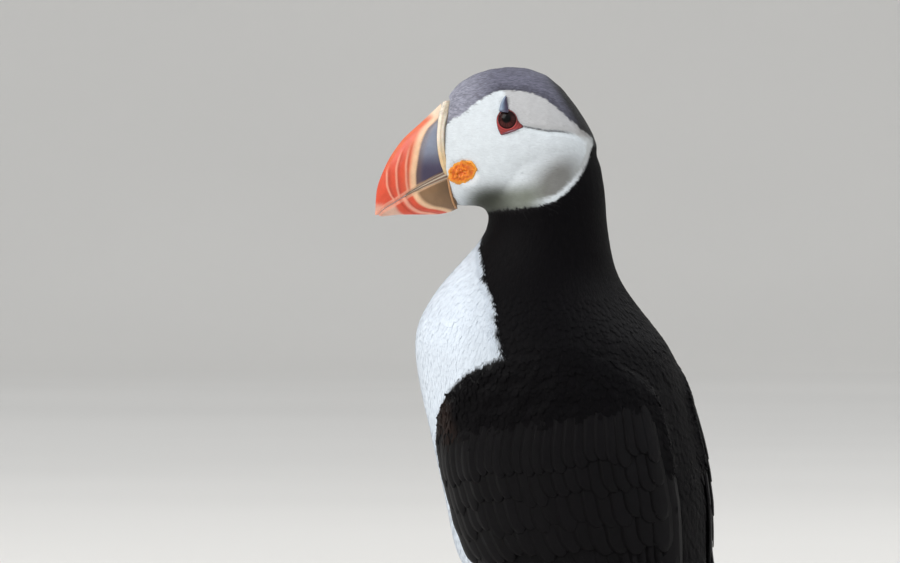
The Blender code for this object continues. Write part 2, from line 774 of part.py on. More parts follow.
def main():
    clear_scene()
    black = material("black_plumage", (0.012, 0.011, 0.012), 0.6)
    white = material("white_plumage", (0.82, 0.87, 0.9), 0.8)
    horn = material("bill_horn", (0.72, 0.16, 0.08), 0.4)
    ridge = material("bill_base_skin", (0.79, 0.68, 0.47), 0.6)
    gape = material("gape_skin", (0.82, 0.24, 0.01), 0.55)
    eye = material("eye", (0.06, 0.02, 0.02), 0.08)
    plate = material("eye_plate", (0.16, 0.19, 0.27), 0.5)
    orange = material("leg_skin", (0.72, 0.16, 0.02), 0.5)
    claw = material("claw_horn", (0.03, 0.025, 0.022), 0.35)

    trunk = build_trunk(white)
    neck = build_neck(black)
    head = build_head(white)
    bill_upper, bill_lower = build_bill(horn)
    bill_base = build_bill_base(ridge)
    eyes, plates, gapes = build_eyes(eye), build_eye_plates(plate), build_gapes(gape)
    wings = build_wings(black)
    tail = build_tail(black)

    trunk_cutter = cutter_of(trunk)
    cut(neck, cutter_of(head))
    for piece, own_plates in zip(eyes, (plates[:2], plates[2:])):
        eye_cutter = cutter_of(piece)
        for cut_piece in [head] + own_plates:
            cut(cut_piece, eye_cutter)
    for piece in plates + gapes:
        cut(head, cutter_of(piece))
    base_cutter = cutter_of(bill_base)
    cut(head, base_cutter)
    cut(bill_upper, base_cutter)
    cut(bill_lower, base_cutter, cutter_of(head))
    for piece in gapes:
        cut(bill_lower, cutter_of(piece))
        cut(bill_base, cutter_of(piece))
    for wing in wings:
        cut(wing, trunk_cutter)
    cut(tail, trunk_cutter)

    for (word, side), wing in zip(mirrored_sides(), wings):
        thigh = build_thigh(word, side, white)
        shank = build_shank(word, side, orange)
        foot = build_foot(word, side, orange)
        claws = build_claws(word, side, claw)
        cut(thigh, trunk_cutter)
        cut(shank, cutter_of(thigh), cutter_of(foot))
        foot_cutter = cutter_of(foot)
        for piece in claws:
            cut(piece, foot_cutter)
        cut(wing, cutter_of(tail))
    stand_on_origin()


main()
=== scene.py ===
"""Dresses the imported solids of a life-size Atlantic puffin: skin, plumage, bill, eyes and feet.

Lengths in this file are in millimetres unless a name ends in _m. Places on the head are given
as (forward, left, up) from the level of the eyes; places on the body as an angle from its front
and a height.
"""

import functools
import math
import types
import typing

import bmesh
import bpy
import numpy as np
from bpy.props import FloatProperty, FloatVectorProperty, IntProperty, PointerProperty
from mathutils import Matrix, Vector
from mathutils.bvhtree import BVHTree
from mathutils.kdtree import KDTree


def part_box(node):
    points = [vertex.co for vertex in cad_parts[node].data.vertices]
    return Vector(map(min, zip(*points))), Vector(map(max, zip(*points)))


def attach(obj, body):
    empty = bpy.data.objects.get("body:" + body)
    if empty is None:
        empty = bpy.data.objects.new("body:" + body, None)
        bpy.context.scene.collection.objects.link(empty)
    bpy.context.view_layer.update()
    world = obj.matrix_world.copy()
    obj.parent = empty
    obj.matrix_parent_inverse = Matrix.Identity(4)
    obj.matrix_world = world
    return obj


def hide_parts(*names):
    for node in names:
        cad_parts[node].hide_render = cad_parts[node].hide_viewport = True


bl_info = {
    "name": "Atlantic puffin model",
    "version": (1, 0, 0),
    "blender": (4, 5, 0),
    "location": "3D View > Sidebar > Puffin",
    "description": "Skin, plumage, bill, eyes, feet and studio of a life-size puffin",
    "category": "Add Mesh",
}

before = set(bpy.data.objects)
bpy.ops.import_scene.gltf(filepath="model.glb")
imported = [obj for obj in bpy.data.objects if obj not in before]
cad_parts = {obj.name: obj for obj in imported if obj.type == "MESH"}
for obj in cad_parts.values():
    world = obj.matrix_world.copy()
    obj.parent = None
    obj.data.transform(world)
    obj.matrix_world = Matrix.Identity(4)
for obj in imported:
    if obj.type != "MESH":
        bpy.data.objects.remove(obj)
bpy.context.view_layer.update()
MM = 0.001
SIDES = (("left", 1.0), ("right", -1.0))
TRIES_PER_ROOT = 4.2   # random places tried for each feather that a face has room for
SOFTNESS = 0.7         # how far light falls on a vane as on the smooth body under it
NECK_BASE = 168.0      # the height where the neck's feathers give way to those of the back

FLESH = ["trunk", "neck", "head", "tail", "thigh_left", "thigh_right", "wing_left", "wing_right"]


# ================================================================ numbers and curves

def smooth_curve(points):
    """A function of an array, through the (x, y) points, that never overshoots between them."""
    xs = np.array([p[0] for p in points], float)
    ys = np.array([p[1] for p in points], float)
    steps = np.diff(xs)
    slopes = np.diff(ys) / steps
    tangents = np.empty(len(xs))
    tangents[0], tangents[-1] = slopes[0], slopes[-1]
    for i in range(1, len(xs) - 1):
        before, after = slopes[i - 1], slopes[i]
        heavy, light = 2 * steps[i] + steps[i - 1], steps[i] + 2 * steps[i - 1]
        flat = before * after <= 0
        tangents[i] = 0.0 if flat else (heavy + light) / (heavy / before + light / after)

    def value(x):
        x = np.clip(x, xs[0], xs[-1])
        i = np.clip(np.searchsorted(xs, x, side="right") - 1, 0, len(xs) - 2)
        h = steps[i]
        t = (x - xs[i]) / h
        return (
            ys[i] * (1 + 2 * t) * (1 - t) ** 2
            + tangents[i] * h * t * (1 - t) ** 2
            + ys[i + 1] * t * t * (3 - 2 * t)
            + tangents[i + 1] * h * t * t * (t - 1)
        )

    return value


def ramp(x, low, high):
    """0 below low, 1 above high, smooth between. low may be the larger of the two."""
    t = np.clip((x - low) / (high - low), 0.0, 1.0)
    return t * t * (3 - 2 * t)


def mix(a, b, share):
    """Between two rows of colours or vectors."""
    share = np.asarray(share)[..., None]
    return a * (1 - share) + b * share


def unit(v):
    return v / np.maximum(np.linalg.norm(v, axis=-1, keepdims=True), 1e-9)


def linear(hex_colour):
    """An sRGB hex colour as linear red, green and blue."""
    parts = [int(hex_colour[i:i + 2], 16) / 255 for i in (1, 3, 5)]
    return tuple(c / 12.92 if c <= 0.04045 else ((c + 0.055) / 1.055) ** 2.4 for c in parts)


def ripples(points, wavelength, seed):
    """Soft noise between about -1 and 1: a sum of waves in random directions."""
    rng = np.random.default_rng(seed)
    total = np.zeros(len(points))
    for _ in range(7):
        direction = unit(rng.normal(size=3))
        length = wavelength * rng.uniform(0.7, 1.5)
        total += np.sin(points @ direction * (2 * math.pi / length) + rng.uniform(0, 6.28))
    return total / 3.0


# ================================================================ places on the bird

EYE = {word: np.array(sum(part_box("eye_" + word), Vector()) / 2) / MM for word, _ in SIDES}
HEAD_LEFT = unit(EYE["left"] - EYE["right"])
HEAD_UP = np.array([0.0, 0.0, 1.0])
HEAD_FORWARD = np.cross(HEAD_LEFT, HEAD_UP)
# The eyeballs' centres lie a little behind and below the middle of their openings.
HEAD_ORIGIN = (EYE["left"] + EYE["right"]) / 2 + 0.72 * HEAD_FORWARD + 0.42 * HEAD_UP
HEAD_AXES = np.array([HEAD_FORWARD, HEAD_LEFT, HEAD_UP])
EYE_PLACE = (0.0, 0.05)
GAPE_PLACE = (16.9, -19.6)


def on_head(points):
    """Forward, left and up of each point, from the middle of the head at eye level."""
    return (np.atleast_2d(points) - HEAD_ORIGIN) @ HEAD_AXES.T


def from_head(coordinates):
    return np.asarray(coordinates) @ HEAD_AXES + HEAD_ORIGIN


# The white face, from the head's side: forward against up.
FACE_TOP = smooth_curve([
    (-32.0, -6.0), (-29.1, -3.8), (-24.5, -0.4), (-19.6, 3.6), (-14.7, 7.4), (-10.2, 9.7), (-4.0, 11.0),
    (1.7, 11.3), (6.8, 9.8), (12.5, 6.4), (17.9, 1.9), (21.5, 0.0), (24.0, -3.0),
])
FACE_BOTTOM = smooth_curve([
    (-32.4, -7.5), (-30.2, -13.6), (-27.9, -19.0), (-22.3, -26.0), (-17.0, -30.4), (-7.2, -32.6),
    (3.4, -33.3), (9.0, -34.5), (20.0, -37.0),
])
FACE_REAR = -32.2
# The groove that runs back from the eye.
CREASE = smooth_curve([(-27.0, -5.9), (-21.9, -4.3), (-14.3, -4.0), (-6.4, -2.6), (-4.0, -2.2)])
# Angle from the front at which the white of the breast gives way to black, by height.
BREAST_EDGE = smooth_curve([
    (28, 180), (44, 150), (60, 112), (100, 98), (145, 96), (156, 95), (164, 92), (176, 71), (184, 45),
    (189, 25), (192.0, 0.0),
])
# Lie of the body feathers: degrees back from straight down, by height.
BODY_LEAN = smooth_curve([(15, 60), (35, 54), (60, 32), (85, 14), (126, 8), (160, 2), (190, -6), (215, 0)])


def in_face(head_points):
    """How far inside the white face's outline, roughly in millimetres. Negative is outside."""
    forward, up = head_points[:, 0], head_points[:, 2]
    inside = np.minimum(FACE_TOP(forward) - up, up - FACE_BOTTOM(forward))
    return np.minimum(inside, 1.4 * (forward - FACE_REAR))


class Surface:
    """A triangle or quad mesh as arrays, with a tree for finding places on it."""

    def __init__(self, points, faces):
        self.points = points
        self.faces = faces

    @functools.cached_property
    def tree(self):
        return BVHTree.FromPolygons(self.points.tolist(), self.faces.tolist())

    @functools.cached_property
    def edges(self):
        a = self.faces
        pairs = np.stack([a, np.roll(a, -1, axis=1)], 2).reshape(-1, 2)
        return np.unique(np.sort(pairs, axis=1), axis=0)

    def averaged(self, values):
        """Each point's value as the mean of its neighbours'."""
        count = np.zeros(len(self.points))
        total = np.zeros_like(values, dtype=float)
        for one, other in ((0, 1), (1, 0)):
            np.add.at(count, self.edges[:, one], 1)
            np.add.at(total, self.edges[:, one], values[self.edges[:, other]])
        count = np.maximum(count, 1)
        return total / (count[:, None] if values.ndim > 1 else count)

    def face_normals(self):
        corners = self.points[self.faces]
        return np.cross(corners[:, 2] - corners[:, 0], corners[:, -1] - corners[:, 1])

    def normals(self):
        face = self.face_normals()
        total = np.zeros_like(self.points)
        for k in range(self.faces.shape[1]):
            np.add.at(total, self.faces[:, k], face)
        return unit(total)


def read_all(items, name, width=1, kind=np.float32):
    """One value of every item, or a row of this width."""
    values = np.empty(len(items) * width, kind)
    items.foreach_get(name, values)
    return values.reshape(-1, width) if width > 1 else values


def mesh_arrays(mesh):
    """Points in millimetres, and faces that all have the same number of corners."""
    corners = read_all(mesh.loops, "vertex_index", kind=np.int32)
    sides = read_all(mesh.polygons, "loop_total", kind=np.int32).max()
    return read_all(mesh.vertices, "co", 3, float) / MM, corners.reshape(-1, sides)


def linked(name, data):
    """A new object in the scene for this mesh, light or camera."""
    made = bpy.data.objects.new(name, data)
    bpy.context.scene.collection.objects.link(made)
    return made


def new_mesh_object(name, points, faces):
    """A smooth object at the origin with its points given in millimetres."""
    mesh = bpy.data.meshes.new(name)
    mesh.from_pydata((np.asarray(points) * MM).tolist(), [], [list(map(int, f)) for f in faces])
    mesh.update()
    mesh.shade_smooth()
    return linked(name, mesh)


def store(mesh, name, values):
    """Writes one number, vector or colour for each point."""
    values = np.asarray(values, np.float32)
    kind = "FLOAT" if values.ndim == 1 else {2: "FLOAT2", 3: "FLOAT_VECTOR"}[values.shape[1]]
    layer = mesh.attributes.new(name, kind, "POINT")
    layer.data.foreach_set("value" if kind == "FLOAT" else "vector", values.ravel())


def drop(*objects):
    """Removes working objects and their meshes."""
    for obj in objects:
        mesh = obj.data
        bpy.data.objects.remove(obj)
        bpy.data.meshes.remove(mesh)


def evaluated_mesh(obj):
    """The object's mesh with its modifiers applied, as new plain data."""
    bpy.context.view_layer.update()
    graph = bpy.context.evaluated_depsgraph_get()
    return bpy.data.meshes.new_from_object(obj.evaluated_get(graph), depsgraph=graph)


def remeshed(growth, voxel):
    """A Surface of even quads round the union of frame nodes, each grown or shrunk along its normals."""
    joined = bmesh.new()
    for node, by in growth:
        copy = bmesh.new()
        copy.from_mesh(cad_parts[node].data)
        bmesh.ops.remove_doubles(copy, verts=copy.verts, dist=0.01 * MM)
        copy.normal_update()
        for vertex in copy.verts:
            vertex.co += vertex.normal * by * MM
        mesh = bpy.data.meshes.new("copy")
        copy.to_mesh(mesh)
        copy.free()
        joined.from_mesh(mesh)
        bpy.data.meshes.remove(mesh)
    mesh = bpy.data.meshes.new("joined")
    joined.to_mesh(mesh)
    joined.free()
    made = linked("joined", mesh)
    step = made.modifiers.new("even", "REMESH")
    step.mode = "VOXEL"
    step.voxel_size = voxel * MM
    mesh = evaluated_mesh(made)
    surface = Surface(*mesh_arrays(mesh))
    drop(made)
    bpy.data.meshes.remove(mesh)
    return largest_part(surface)


def largest_part(surface):
    """Keeps the shell with the most points, so no closed pocket is left inside."""
    label = np.arange(len(surface.points))
    while True:
        low = label.copy()
        np.minimum.at(low, surface.edges[:, 0], label[surface.edges[:, 1]])
        np.minimum.at(low, surface.edges[:, 1], label[surface.edges[:, 0]])
        low = low[low]
        if (low == label).all():
            break
        label = low
    kept = label == np.bincount(label).argmax()
    index = np.cumsum(kept) - 1
    faces = surface.faces[kept[surface.faces[:, 0]]]
    return Surface(surface.points[kept], index[faces])


def smoothed(surface, rounds):
    """Takes out facets and steps without shrinking the shape."""
    for _ in range(rounds):
        for factor in (0.5, -0.53):
            change = surface.averaged(surface.points) - surface.points
            surface.points = surface.points + factor * change
    return surface


def rounded(surface, rounds, swell, strength):
    """Rounds off broad facets, and swells the shape by what that takes from it."""
    for _ in range(rounds):
        surface.points = mix(surface.points, surface.averaged(surface.points), 0.5 * strength)
    surface.points = surface.points + surface.normals() * (swell * strength)[:, None]
    return surface


# ================================================================ settings

def colour_property(name, description, hex_colour):
    return FloatVectorProperty(
        name=name, description=description, default=linear(hex_colour),
        subtype="COLOR", size=3, min=0, max=1,
    )


def length_property(name, description, default):
    """A length in millimetres."""
    return FloatProperty(name=name, description=description + ", in millimetres", default=default, min=0.05)


def power_property(name, description, default):
    return FloatProperty(name=name, description=description, default=default, min=0, unit="POWER")


class PuffinPlumage(bpy.types.PropertyGroup):
    face_spacing: length_property("Face spacing", "Distance between feather tufts on the face", 0.42)
    crown_spacing: length_property("Crown spacing", "Distance between feather tufts on the crown", 0.45)
    neck_spacing: length_property("Neck spacing", "Distance between feathers on the neck", 0.62)
    strand_spacing: length_property("Strand spacing", "Distance between the strands along the edges", 0.3)
    breast_spacing: length_property("Breast spacing", "Distance between feathers on the underside", 0.86)
    vent_spacing: length_property("Vent spacing", "Distance between feathers under the tail", 1.25)
    thigh_spacing: length_property("Thigh spacing", "Distance between feathers on the thighs", 0.8)
    back_spacing: length_property("Back spacing", "Distance between feathers on the back", 1.4)
    covert_spacing: length_property("Covert spacing", "Distance between the small wing feathers", 1.5)
    skin_voxel: length_property("Skin detail", "Size of the skin's faces", 1.0)
    seed: IntProperty(name="Seed", description="Picks another arrangement of the feathers", default=11)
    white: colour_property("White", "Breast and belly", "#dde7f2")
    face: colour_property("Face", "The white face", "#e1e8ed")
    face_shade: colour_property("Face shade", "The face above the furrow behind the eye", "#bdbcbd")
    # The cheek's grey is partly its own grey and partly painted shade on the lower rear of the face.
    cheek: colour_property("Cheek", "The grey bump low on the cheek", "#6d6b66")
    # The chin's greenish grey is partly its own grey and partly painted shadow under the bill, with a painted
    # green reflection.
    chin: colour_property("Chin", "The chin under the bill", "#676c5b")
    # The crown's grey is partly painted sheen on its dark feathers, and the paler forehead is painted sheen,
    # both from the light above the front.
    crown: colour_property("Crown", "The grey top of the head", "#6f6f80")
    forehead_sheen: colour_property("Forehead", "The paler front of the crown", "#a2a3b2")
    black: colour_property("Black", "Neck, back and wings", "#050406")
    # The brown on the bend of the wing is partly faded wear and partly painted sheen.
    wear_and_sheen: colour_property("Worn", "Faded brown on the bend of the wing", "#2c211d")


class PuffinBill(bpy.types.PropertyGroup):
    groove: length_property("Groove depth", "Depth of the grooves in the red part", 0.38)
    red: colour_property("Red", "The front of the bill", "#da5237")
    orange: colour_property("Orange", "The ridge and where red turns to cream", "#e0744a")
    pale: colour_property("Pale ridges", "The raised lines in the red", "#f0a58c")
    cream: colour_property("Cream", "The stripe behind the red", "#ecc19b")
    # The plate lightens towards its top, partly its own slate and partly painted highlight from the light
    # above.
    slate_and_highlight_above: colour_property("Slate, above", "The plate at the bill's base, at its top", "#8990a2")
    slate_low: colour_property("Slate, below", "The plate near the mouth", "#463f58")
    lower_grey: colour_property("Lower base", "The base of the lower mandible", "#826549")
    tip: colour_property("Tip", "The pale horn at the tip", "#dcb09c")
    base_ridge: colour_property("Base ridge", "The raised pale skin round the bill's base", "#eee3d0")
    base_low: colour_property("Base ridge, low", "The yellower lower end of that skin", "#e8c48e")
    base_rear: colour_property("Base ridge, furrow", "The tan furrow and pits in that skin", "#c0ab8a")
    lower_rim: colour_property("Lower rim", "The thin skin round the lower mandible's base", "#b9885c")
    mouth: colour_property("Mouth skin", "The fold between the mandibles", "#8d7160")
    gape: colour_property("Gape", "The wrinkled skin at the corner of the mouth", "#f68d08")
    # The bottoms of the wrinkles are darker: painted shade.
    gape_fold_shade: colour_property("Gape folds", "The bottoms of its wrinkles", "#cc3a06")
    gape_rim: colour_property("Gape rim", "Its paler outer rim", "#f5b443")


class PuffinEyes(bpy.types.PropertyGroup):
    pupil: length_property("Pupil", "Radius of the pupil", 1.6)
    iris: colour_property("Iris", "The ring round the pupil", "#3c1513")
    ring: colour_property("Eye ring", "The bare red skin round the eye", "#b63a38")
    # The plate's lighter front is partly painted highlight on its dark blue-grey horn.
    plate: colour_property("Eye plate, front", "The front of the horny plate above the eye", "#70829a")
    plate_rear: colour_property("Eye plate, rear", "The rear of that plate", "#352c44")


class PuffinLegs(bpy.types.PropertyGroup):
    skin: colour_property("Leg skin", "Shanks and toes", "#d9501f")
    web: colour_property("Web", "The skin between the toes", "#e0702c")
    claw: colour_property("Claw", "The claws", "#1b1816")


class PuffinStudio(bpy.types.PropertyGroup):
    floor: colour_property("Floor", "The floor and the sweep behind it", "#e4e2de")
    key: power_property("Key light", "Power of the main light", 40)
    fill: power_property("Fill light", "Power of the soft light", 13)


def settings(group):
    """The scene's settings of one group, with each colour as an array of linear red, green and blue."""
    given = getattr(bpy.context.scene, "puffin_" + group)
    values = {name: getattr(given, name) for name in SETTINGS["puffin_" + group].__annotations__}
    return types.SimpleNamespace(**{
        name: np.array(value) if hasattr(value, "__len__") else value for name, value in values.items()
    })


# ================================================================ materials

def add_node(tree, kind, inputs=None, output=0, **choices):
    """Adds a node with its settings, and a value or a link for each input. Returns one of its outputs.

    A socket goes by its place, or by its name among those in use.
    """
    def socket(sockets, key):
        if isinstance(key, int):
            return sockets[key]
        return next(s for s in sockets if s.enabled and s.name == key)

    node = tree.nodes.new(kind)
    for key, value in choices.items():
        setattr(node, key, value)
    for key, value in (inputs or {}).items():
        if isinstance(value, bpy.types.NodeSocket):
            tree.links.new(value, socket(node.inputs, key))
        else:
            socket(node.inputs, key).default_value = value
    return socket(node.outputs, output) if node.outputs else node


def new_material(name):
    """An empty material, and add_node for its tree."""
    made = bpy.data.materials.new(name)
    made.use_nodes = True
    made.node_tree.nodes.clear()
    return made, functools.partial(add_node, made.node_tree)


def patches(add, size, detail=2.0):
    """Noise on Object coordinates, with patches of about this many millimetres."""
    place = add("ShaderNodeTexCoord", output="Object")
    return add("ShaderNodeTexNoise", {"Vector": place, "Scale": 1 / (size * MM), "Detail": detail})


def coloured(add, *ranges, shade=None, colour=None):
    """The piece's own markings, or one colour, times shade and the (value, low, high, dark, light) ranges."""
    for value, low, high, dark, light in ranges:
        level = add("ShaderNodeMapRange", {0: value, 1: low, 2: high, 3: dark, 4: light})
        shade = add("ShaderNodeMath", {0: shade, 1: level}, operation="MULTIPLY") if shade else level
    colour = colour or add("ShaderNodeAttribute", output="Vector", attribute_name="tone")
    return add("ShaderNodeVectorMath", {0: colour, "Scale": shade}, operation="SCALE")


def finished(made, add, colour, height, strength, depth, inputs):
    """Joins colour, a bump this many millimetres deep and the other inputs in the material's surface."""
    if height:
        bump = {"Height": height, "Strength": strength, "Distance": depth * MM}
        inputs = {**inputs, "Normal": add("ShaderNodeBump", bump)}
    shader = add("ShaderNodeBsdfPrincipled", {"Base Color": colour, **inputs})
    add("ShaderNodeOutputMaterial", {"Surface": shader})
    return made


@functools.cache
def feather_material(name, roughness, sheen, specular):
    """Feather keratin: the piece's own markings, each feather's shade, and the fine lines of its barbs."""
    made, add = new_material(name)
    leaf = add("ShaderNodeAttribute", output="Vector", attribute_name="leaf")
    across = add("ShaderNodeSeparateXYZ", {0: leaf})
    along = across.node.outputs[1]
    slant = add("ShaderNodeMath", {0: add("ShaderNodeMath", {0: across}, operation="ABSOLUTE"), 1: 0.35},
                operation="MULTIPLY")
    barbs = add("ShaderNodeMath", {0: along, 1: slant}, operation="SUBTRACT")
    barbs = add("ShaderNodeMath", {0: barbs, 1: 95.0}, operation="MULTIPLY")
    lines = add("ShaderNodeMath", {0: barbs}, operation="SINE")
    shade = add("ShaderNodeAttribute", output="Fac", attribute_name="shade")
    colour = coloured(
        add, (patches(add, 2.5), 0.25, 0.75, 0.96, 1.04), (lines, -1.0, 1.0, 0.975, 1.02), shade=shade,
    )
    return finished(made, add, colour, lines, 0.2, 0.03, {
        "Roughness": roughness, "Sheen Weight": sheen, "Sheen Roughness": 0.5,
        "Specular IOR Level": specular,
    })


@functools.cache
def skin_material():
    """Skin and down under the feathers, matt, in the plumage's own markings."""
    made, add = new_material("bird_skin_and_down")
    grain = patches(add, 0.5, 3.0)
    colour = coloured(add, (grain, 0.3, 0.7, 0.86, 1.0))
    return finished(made, add, colour, grain, 0.5, 0.3, {"Roughness": 0.85, "Specular IOR Level": 0.2})


@functools.cache
def painted_material(name, roughness, coat, grain_size, grain_depth, specular=0.5, subsurface=0.0):
    """A horn or skin finish that takes its markings from the piece, with its own fine grain."""
    made, add = new_material(name)
    grain = patches(add, grain_size, 4.0)
    broad = patches(add, grain_size * 9)
    colour = coloured(add, (grain, 0.3, 0.7, 0.93, 1.05), (broad, 0.3, 0.7, 0.92, 1.06))
    rough = {0: grain, 1: 0.3, 2: 0.7, 3: roughness * 0.85, 4: roughness * 1.15}
    return finished(made, add, colour, grain, 0.5, grain_depth, {
        "Roughness": add("ShaderNodeMapRange", rough), "Specular IOR Level": specular,
        "Coat Weight": coat, "Coat Roughness": 0.18,
        "Subsurface Weight": subsurface, "Subsurface Scale": 0.001,
    })


@functools.cache
def scaly_skin_material():
    """Leathery leg skin: small raised scales with darker seams."""
    made, add = new_material("scaly_leg_skin")
    place = add("ShaderNodeTexCoord", output="Object")
    cells = add("ShaderNodeTexVoronoi", {"Vector": place, "Scale": 1 / (SCALE_WIDTH * MM)}, "Distance",
                feature="DISTANCE_TO_EDGE")
    scales = add("ShaderNodeMapRange", {0: cells, 1: 0.0, 2: 0.22, 3: 0.0, 4: 1.0})
    colour = coloured(add, (scales, 0.0, 1.0, 0.72, 1.03), (patches(add, 0.6, 3.0), 0.3, 0.7, 0.88, 1.08))
    return finished(made, add, colour, scales, 0.6, 0.12, {
        "Roughness": 0.45, "Specular IOR Level": 0.45, "Coat Weight": 0.08, "Subsurface Weight": 0.1,
        "Subsurface Scale": 0.001,
    })


def finish_piece(obj, made_of, nodes=()):
    """Gives a piece its material, its body and the solids that it stands for."""
    obj.data.materials.clear()
    obj.data.materials.append(made_of)
    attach(obj, "root")
    if nodes:
        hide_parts(*nodes)
    return obj


# ================================================================ closed shapes

def ring_faces(rings, around, start=0, closed=False):
    """Quads between rings of this many points, each ring numbered on from the one before."""
    faces = []
    for r in range(rings if closed else rings - 1):
        here, after = start + around * r, start + around * ((r + 1) % rings)
        for k in range(around):
            n = (k + 1) % around
            faces.append((here + k, here + n, after + n, after + k))
    return faces


def angles_round(count):
    """This many angles round a circle, in radians."""
    return [2 * math.pi * k / count for k in range(count)]


def fan(first, around, middle):
    """Triangles from a ring of points to one point."""
    return [(first + k, first + (k + 1) % around, middle) for k in range(around)]


def closed_tube(points, around):
    """The points and faces of a tube through rings of points, with two more points that close its ends."""
    points = list(points)
    rings = len(points) // around
    faces = ring_faces(rings, around)
    for first in (0, around * (rings - 1)):
        faces += fan(first, around, len(points))
        points.append(np.mean(points[first:first + around], axis=0))
    return np.array(points), faces


def solid_piece(name, points, faces, tones, finish, slot, nodes=()):
    """A closed piece that faces outwards, with a colour for each point, or one colour for all."""
    made = new_mesh_object(name, points, faces)
    face_outwards(made.data)
    store(made.data, "tone", np.broadcast_to(tones, (len(points), 3)))
    return finish_piece(made, finish, nodes)


def face_outwards(mesh):
    """Turns every closed part of the mesh to face outwards."""
    work = bmesh.new()
    work.from_mesh(mesh)
    bmesh.ops.recalc_face_normals(work, faces=work.faces)
    work.to_mesh(mesh)
    work.free()


# ================================================================ markings

BODY_MIDDLE = smooth_curve([
    (15, 66), (25, 51), (38, 30), (50, 10.6), (64.5, -3.2), (84.5, -5.3), (104, -9), (126, -14.6),
    (144.8, -20.3), (159.2, -24.8), (170, -25), (182.6, -20.6), (191, -17.9), (214, -18.6), (240, -16),
])


def angle_from_front(points):
    """Degrees round the upright body, 0 at the breast and 180 at the back, alike on both sides."""
    back = points[:, 1] - BODY_MIDDLE(points[:, 2])
    return np.degrees(np.arctan2(np.abs(points[:, 0]), -back))


def head_tone(points, c):
    """Colours of face and crown, and how much of each point belongs to them rather than to the neck."""
    h = on_head(points)
    forward, _, up = h.T
    inside = in_face(h) + 0.25 * ripples(points, 2.0, 3)
    crease = up - CREASE(forward)
    above = ramp(crease, -0.1, 0.9) * ramp(forward - 0.3 * (up - 3), 0.4, -1.6)
    face = mix(c.face, c.face_shade, 0.85 * above)
    # Grey on the lower rear of the face: partly the cheek's own grey, partly painted shade, deepest in a long
    # patch low on the rear cheek.
    low = ramp(forward, 4.0, -12.0) * ramp(up, -8.0, -17.0)
    along = 0.77 * (up + 23.5) - 0.637 * (forward + 17.5)
    across = 0.77 * (forward + 17.5) + 0.637 * (up + 23.5)
    cheek_grey_and_shade = np.exp(-((along / 13.0) ** 2 + (across / 7.0) ** 2) ** 1.2)
    face = mix(face, c.cheek, np.clip(0.2 * low + 0.8 * cheek_grey_and_shade, 0, 0.9) * ramp(inside, 1.0, 3.2))
    # The chin: partly its own grey, partly painted shadow under the bill with a painted green reflection.
    chin = ramp(forward, -17.0, -6.0) * ramp(forward, 18.0, 10.0) * ramp(up - FACE_BOTTOM(forward), 11.5, 4.0)
    face = mix(face, c.chin, 0.85 * np.maximum(chin, ramp(up, -31.0, -35.0)))
    # Painted shadow: a dark patch low on the chin just under the bill.
    chin_shadow = np.exp(-(((forward - 7.0) / 8.5) ** 2 + ((up + 31.0) / 6.5) ** 2) ** 1.5)
    face = mix(face, c.chin * 0.25, 0.9 * chin_shadow)
    rear = ramp(inside, 5.0, 2.5) * ramp(forward, -23.0, -29.0)
    face = mix(face, c.cheek * 1.9, 0.5 * rear)
    # Painted shade: a dark line along the furrow behind the eye.
    groove = np.exp(-(crease / 0.45) ** 2) * ramp(forward, -4.6, -6.2) * ramp(forward, -27.0, -20.0)
    face = mix(face, c.black * 3.0, 0.85 * groove)
    # The crown's grey is partly painted sheen: palest at the forehead, fading towards the rear, black at the
    # nape.
    crown = mix(c.crown, c.forehead_sheen, 0.9 * ramp(forward, 3.0, 19.0))
    crown = mix(crown, c.crown * 0.62, 0.7 * ramp(forward, -8.0, -24.0))
    # Painted shade: the crown darker along its lower edge by the face.
    edge = ramp(inside, -3.4, -0.4) * ramp(forward, 12.0, 4.0)
    crown = mix(crown, c.crown * 0.5, 0.75 * edge)
    crown = mix(crown, c.black, ramp(forward - 0.6 * up, -23.0, -27.5))
    in_white = ramp(inside, -0.25, 0.25)
    line = -1.6 + 0.35 * ripples(points, 3.0, 4)
    share = np.maximum(in_white, ramp(up, line - 1.6, line + 1.6))
    return mix(crown, face, in_white), share * ramp(points[:, 2], 196.0, 197.0)


def plumage_tone(points, zone):
    """Linear colour of the plumage. zone is an index into ZONES for each point."""
    c = settings("plumage")
    x, y, z = points.T
    angle = angle_from_front(points)
    inside = BREAST_EDGE(z) + 1.6 * ripples(points, 5.0, 5) - angle
    white = ramp(inside, -1.2, 1.2)
    thigh_gap = ramp(z, 56.0, 50.0) * ramp(y, 34.0, 30.0) * ramp(np.abs(x), 36.0, 33.0)
    by_tail = ramp(y + 0.7 * (z - 28.0), 44.0, 50.0) * ramp(z, 62.0, 52.0)
    white = np.maximum(white, thigh_gap) * (1 - by_tail)
    # Brown on the bend of the wing: partly faded wear, partly painted sheen.
    wear_and_sheen = ramp(np.abs(angle - 50.0), 13.0, 3.0) * np.exp(-((z - 118.0) / 13.0) ** 2)
    dark = mix(c.black, c.wear_and_sheen, 0.75 * wear_and_sheen)
    # Painted shade: the white is darker near its edge with the black, where the breast turns from the light.
    shade = 1.0 - 0.14 * ramp(inside, 26.0, 6.0) * ramp(z, 100.0, 130.0)
    body = mix(dark, c.white * shade[:, None], white)
    for name, tone in (("wing", dark), ("tail", c.black * 1.3), ("thigh", c.white * 0.9)):
        body = np.where(in_zone(zone, name)[:, None], tone, body)
    return mix(body, *head_tone(points, c))


# ================================================================ skin

ZONE_NODES = {
    "body": ("trunk", "neck", "head"), "wing": ("wing_left", "wing_right"), "tail": ("tail",),
    "thigh": ("thigh_left", "thigh_right"),
}
ZONES = tuple(ZONE_NODES)
COAT_DEPTH = {"head": 0.2, "neck": 0.5, "body": 1.0, "wing": 1.0, "tail": 1.0, "thigh": 0.8}


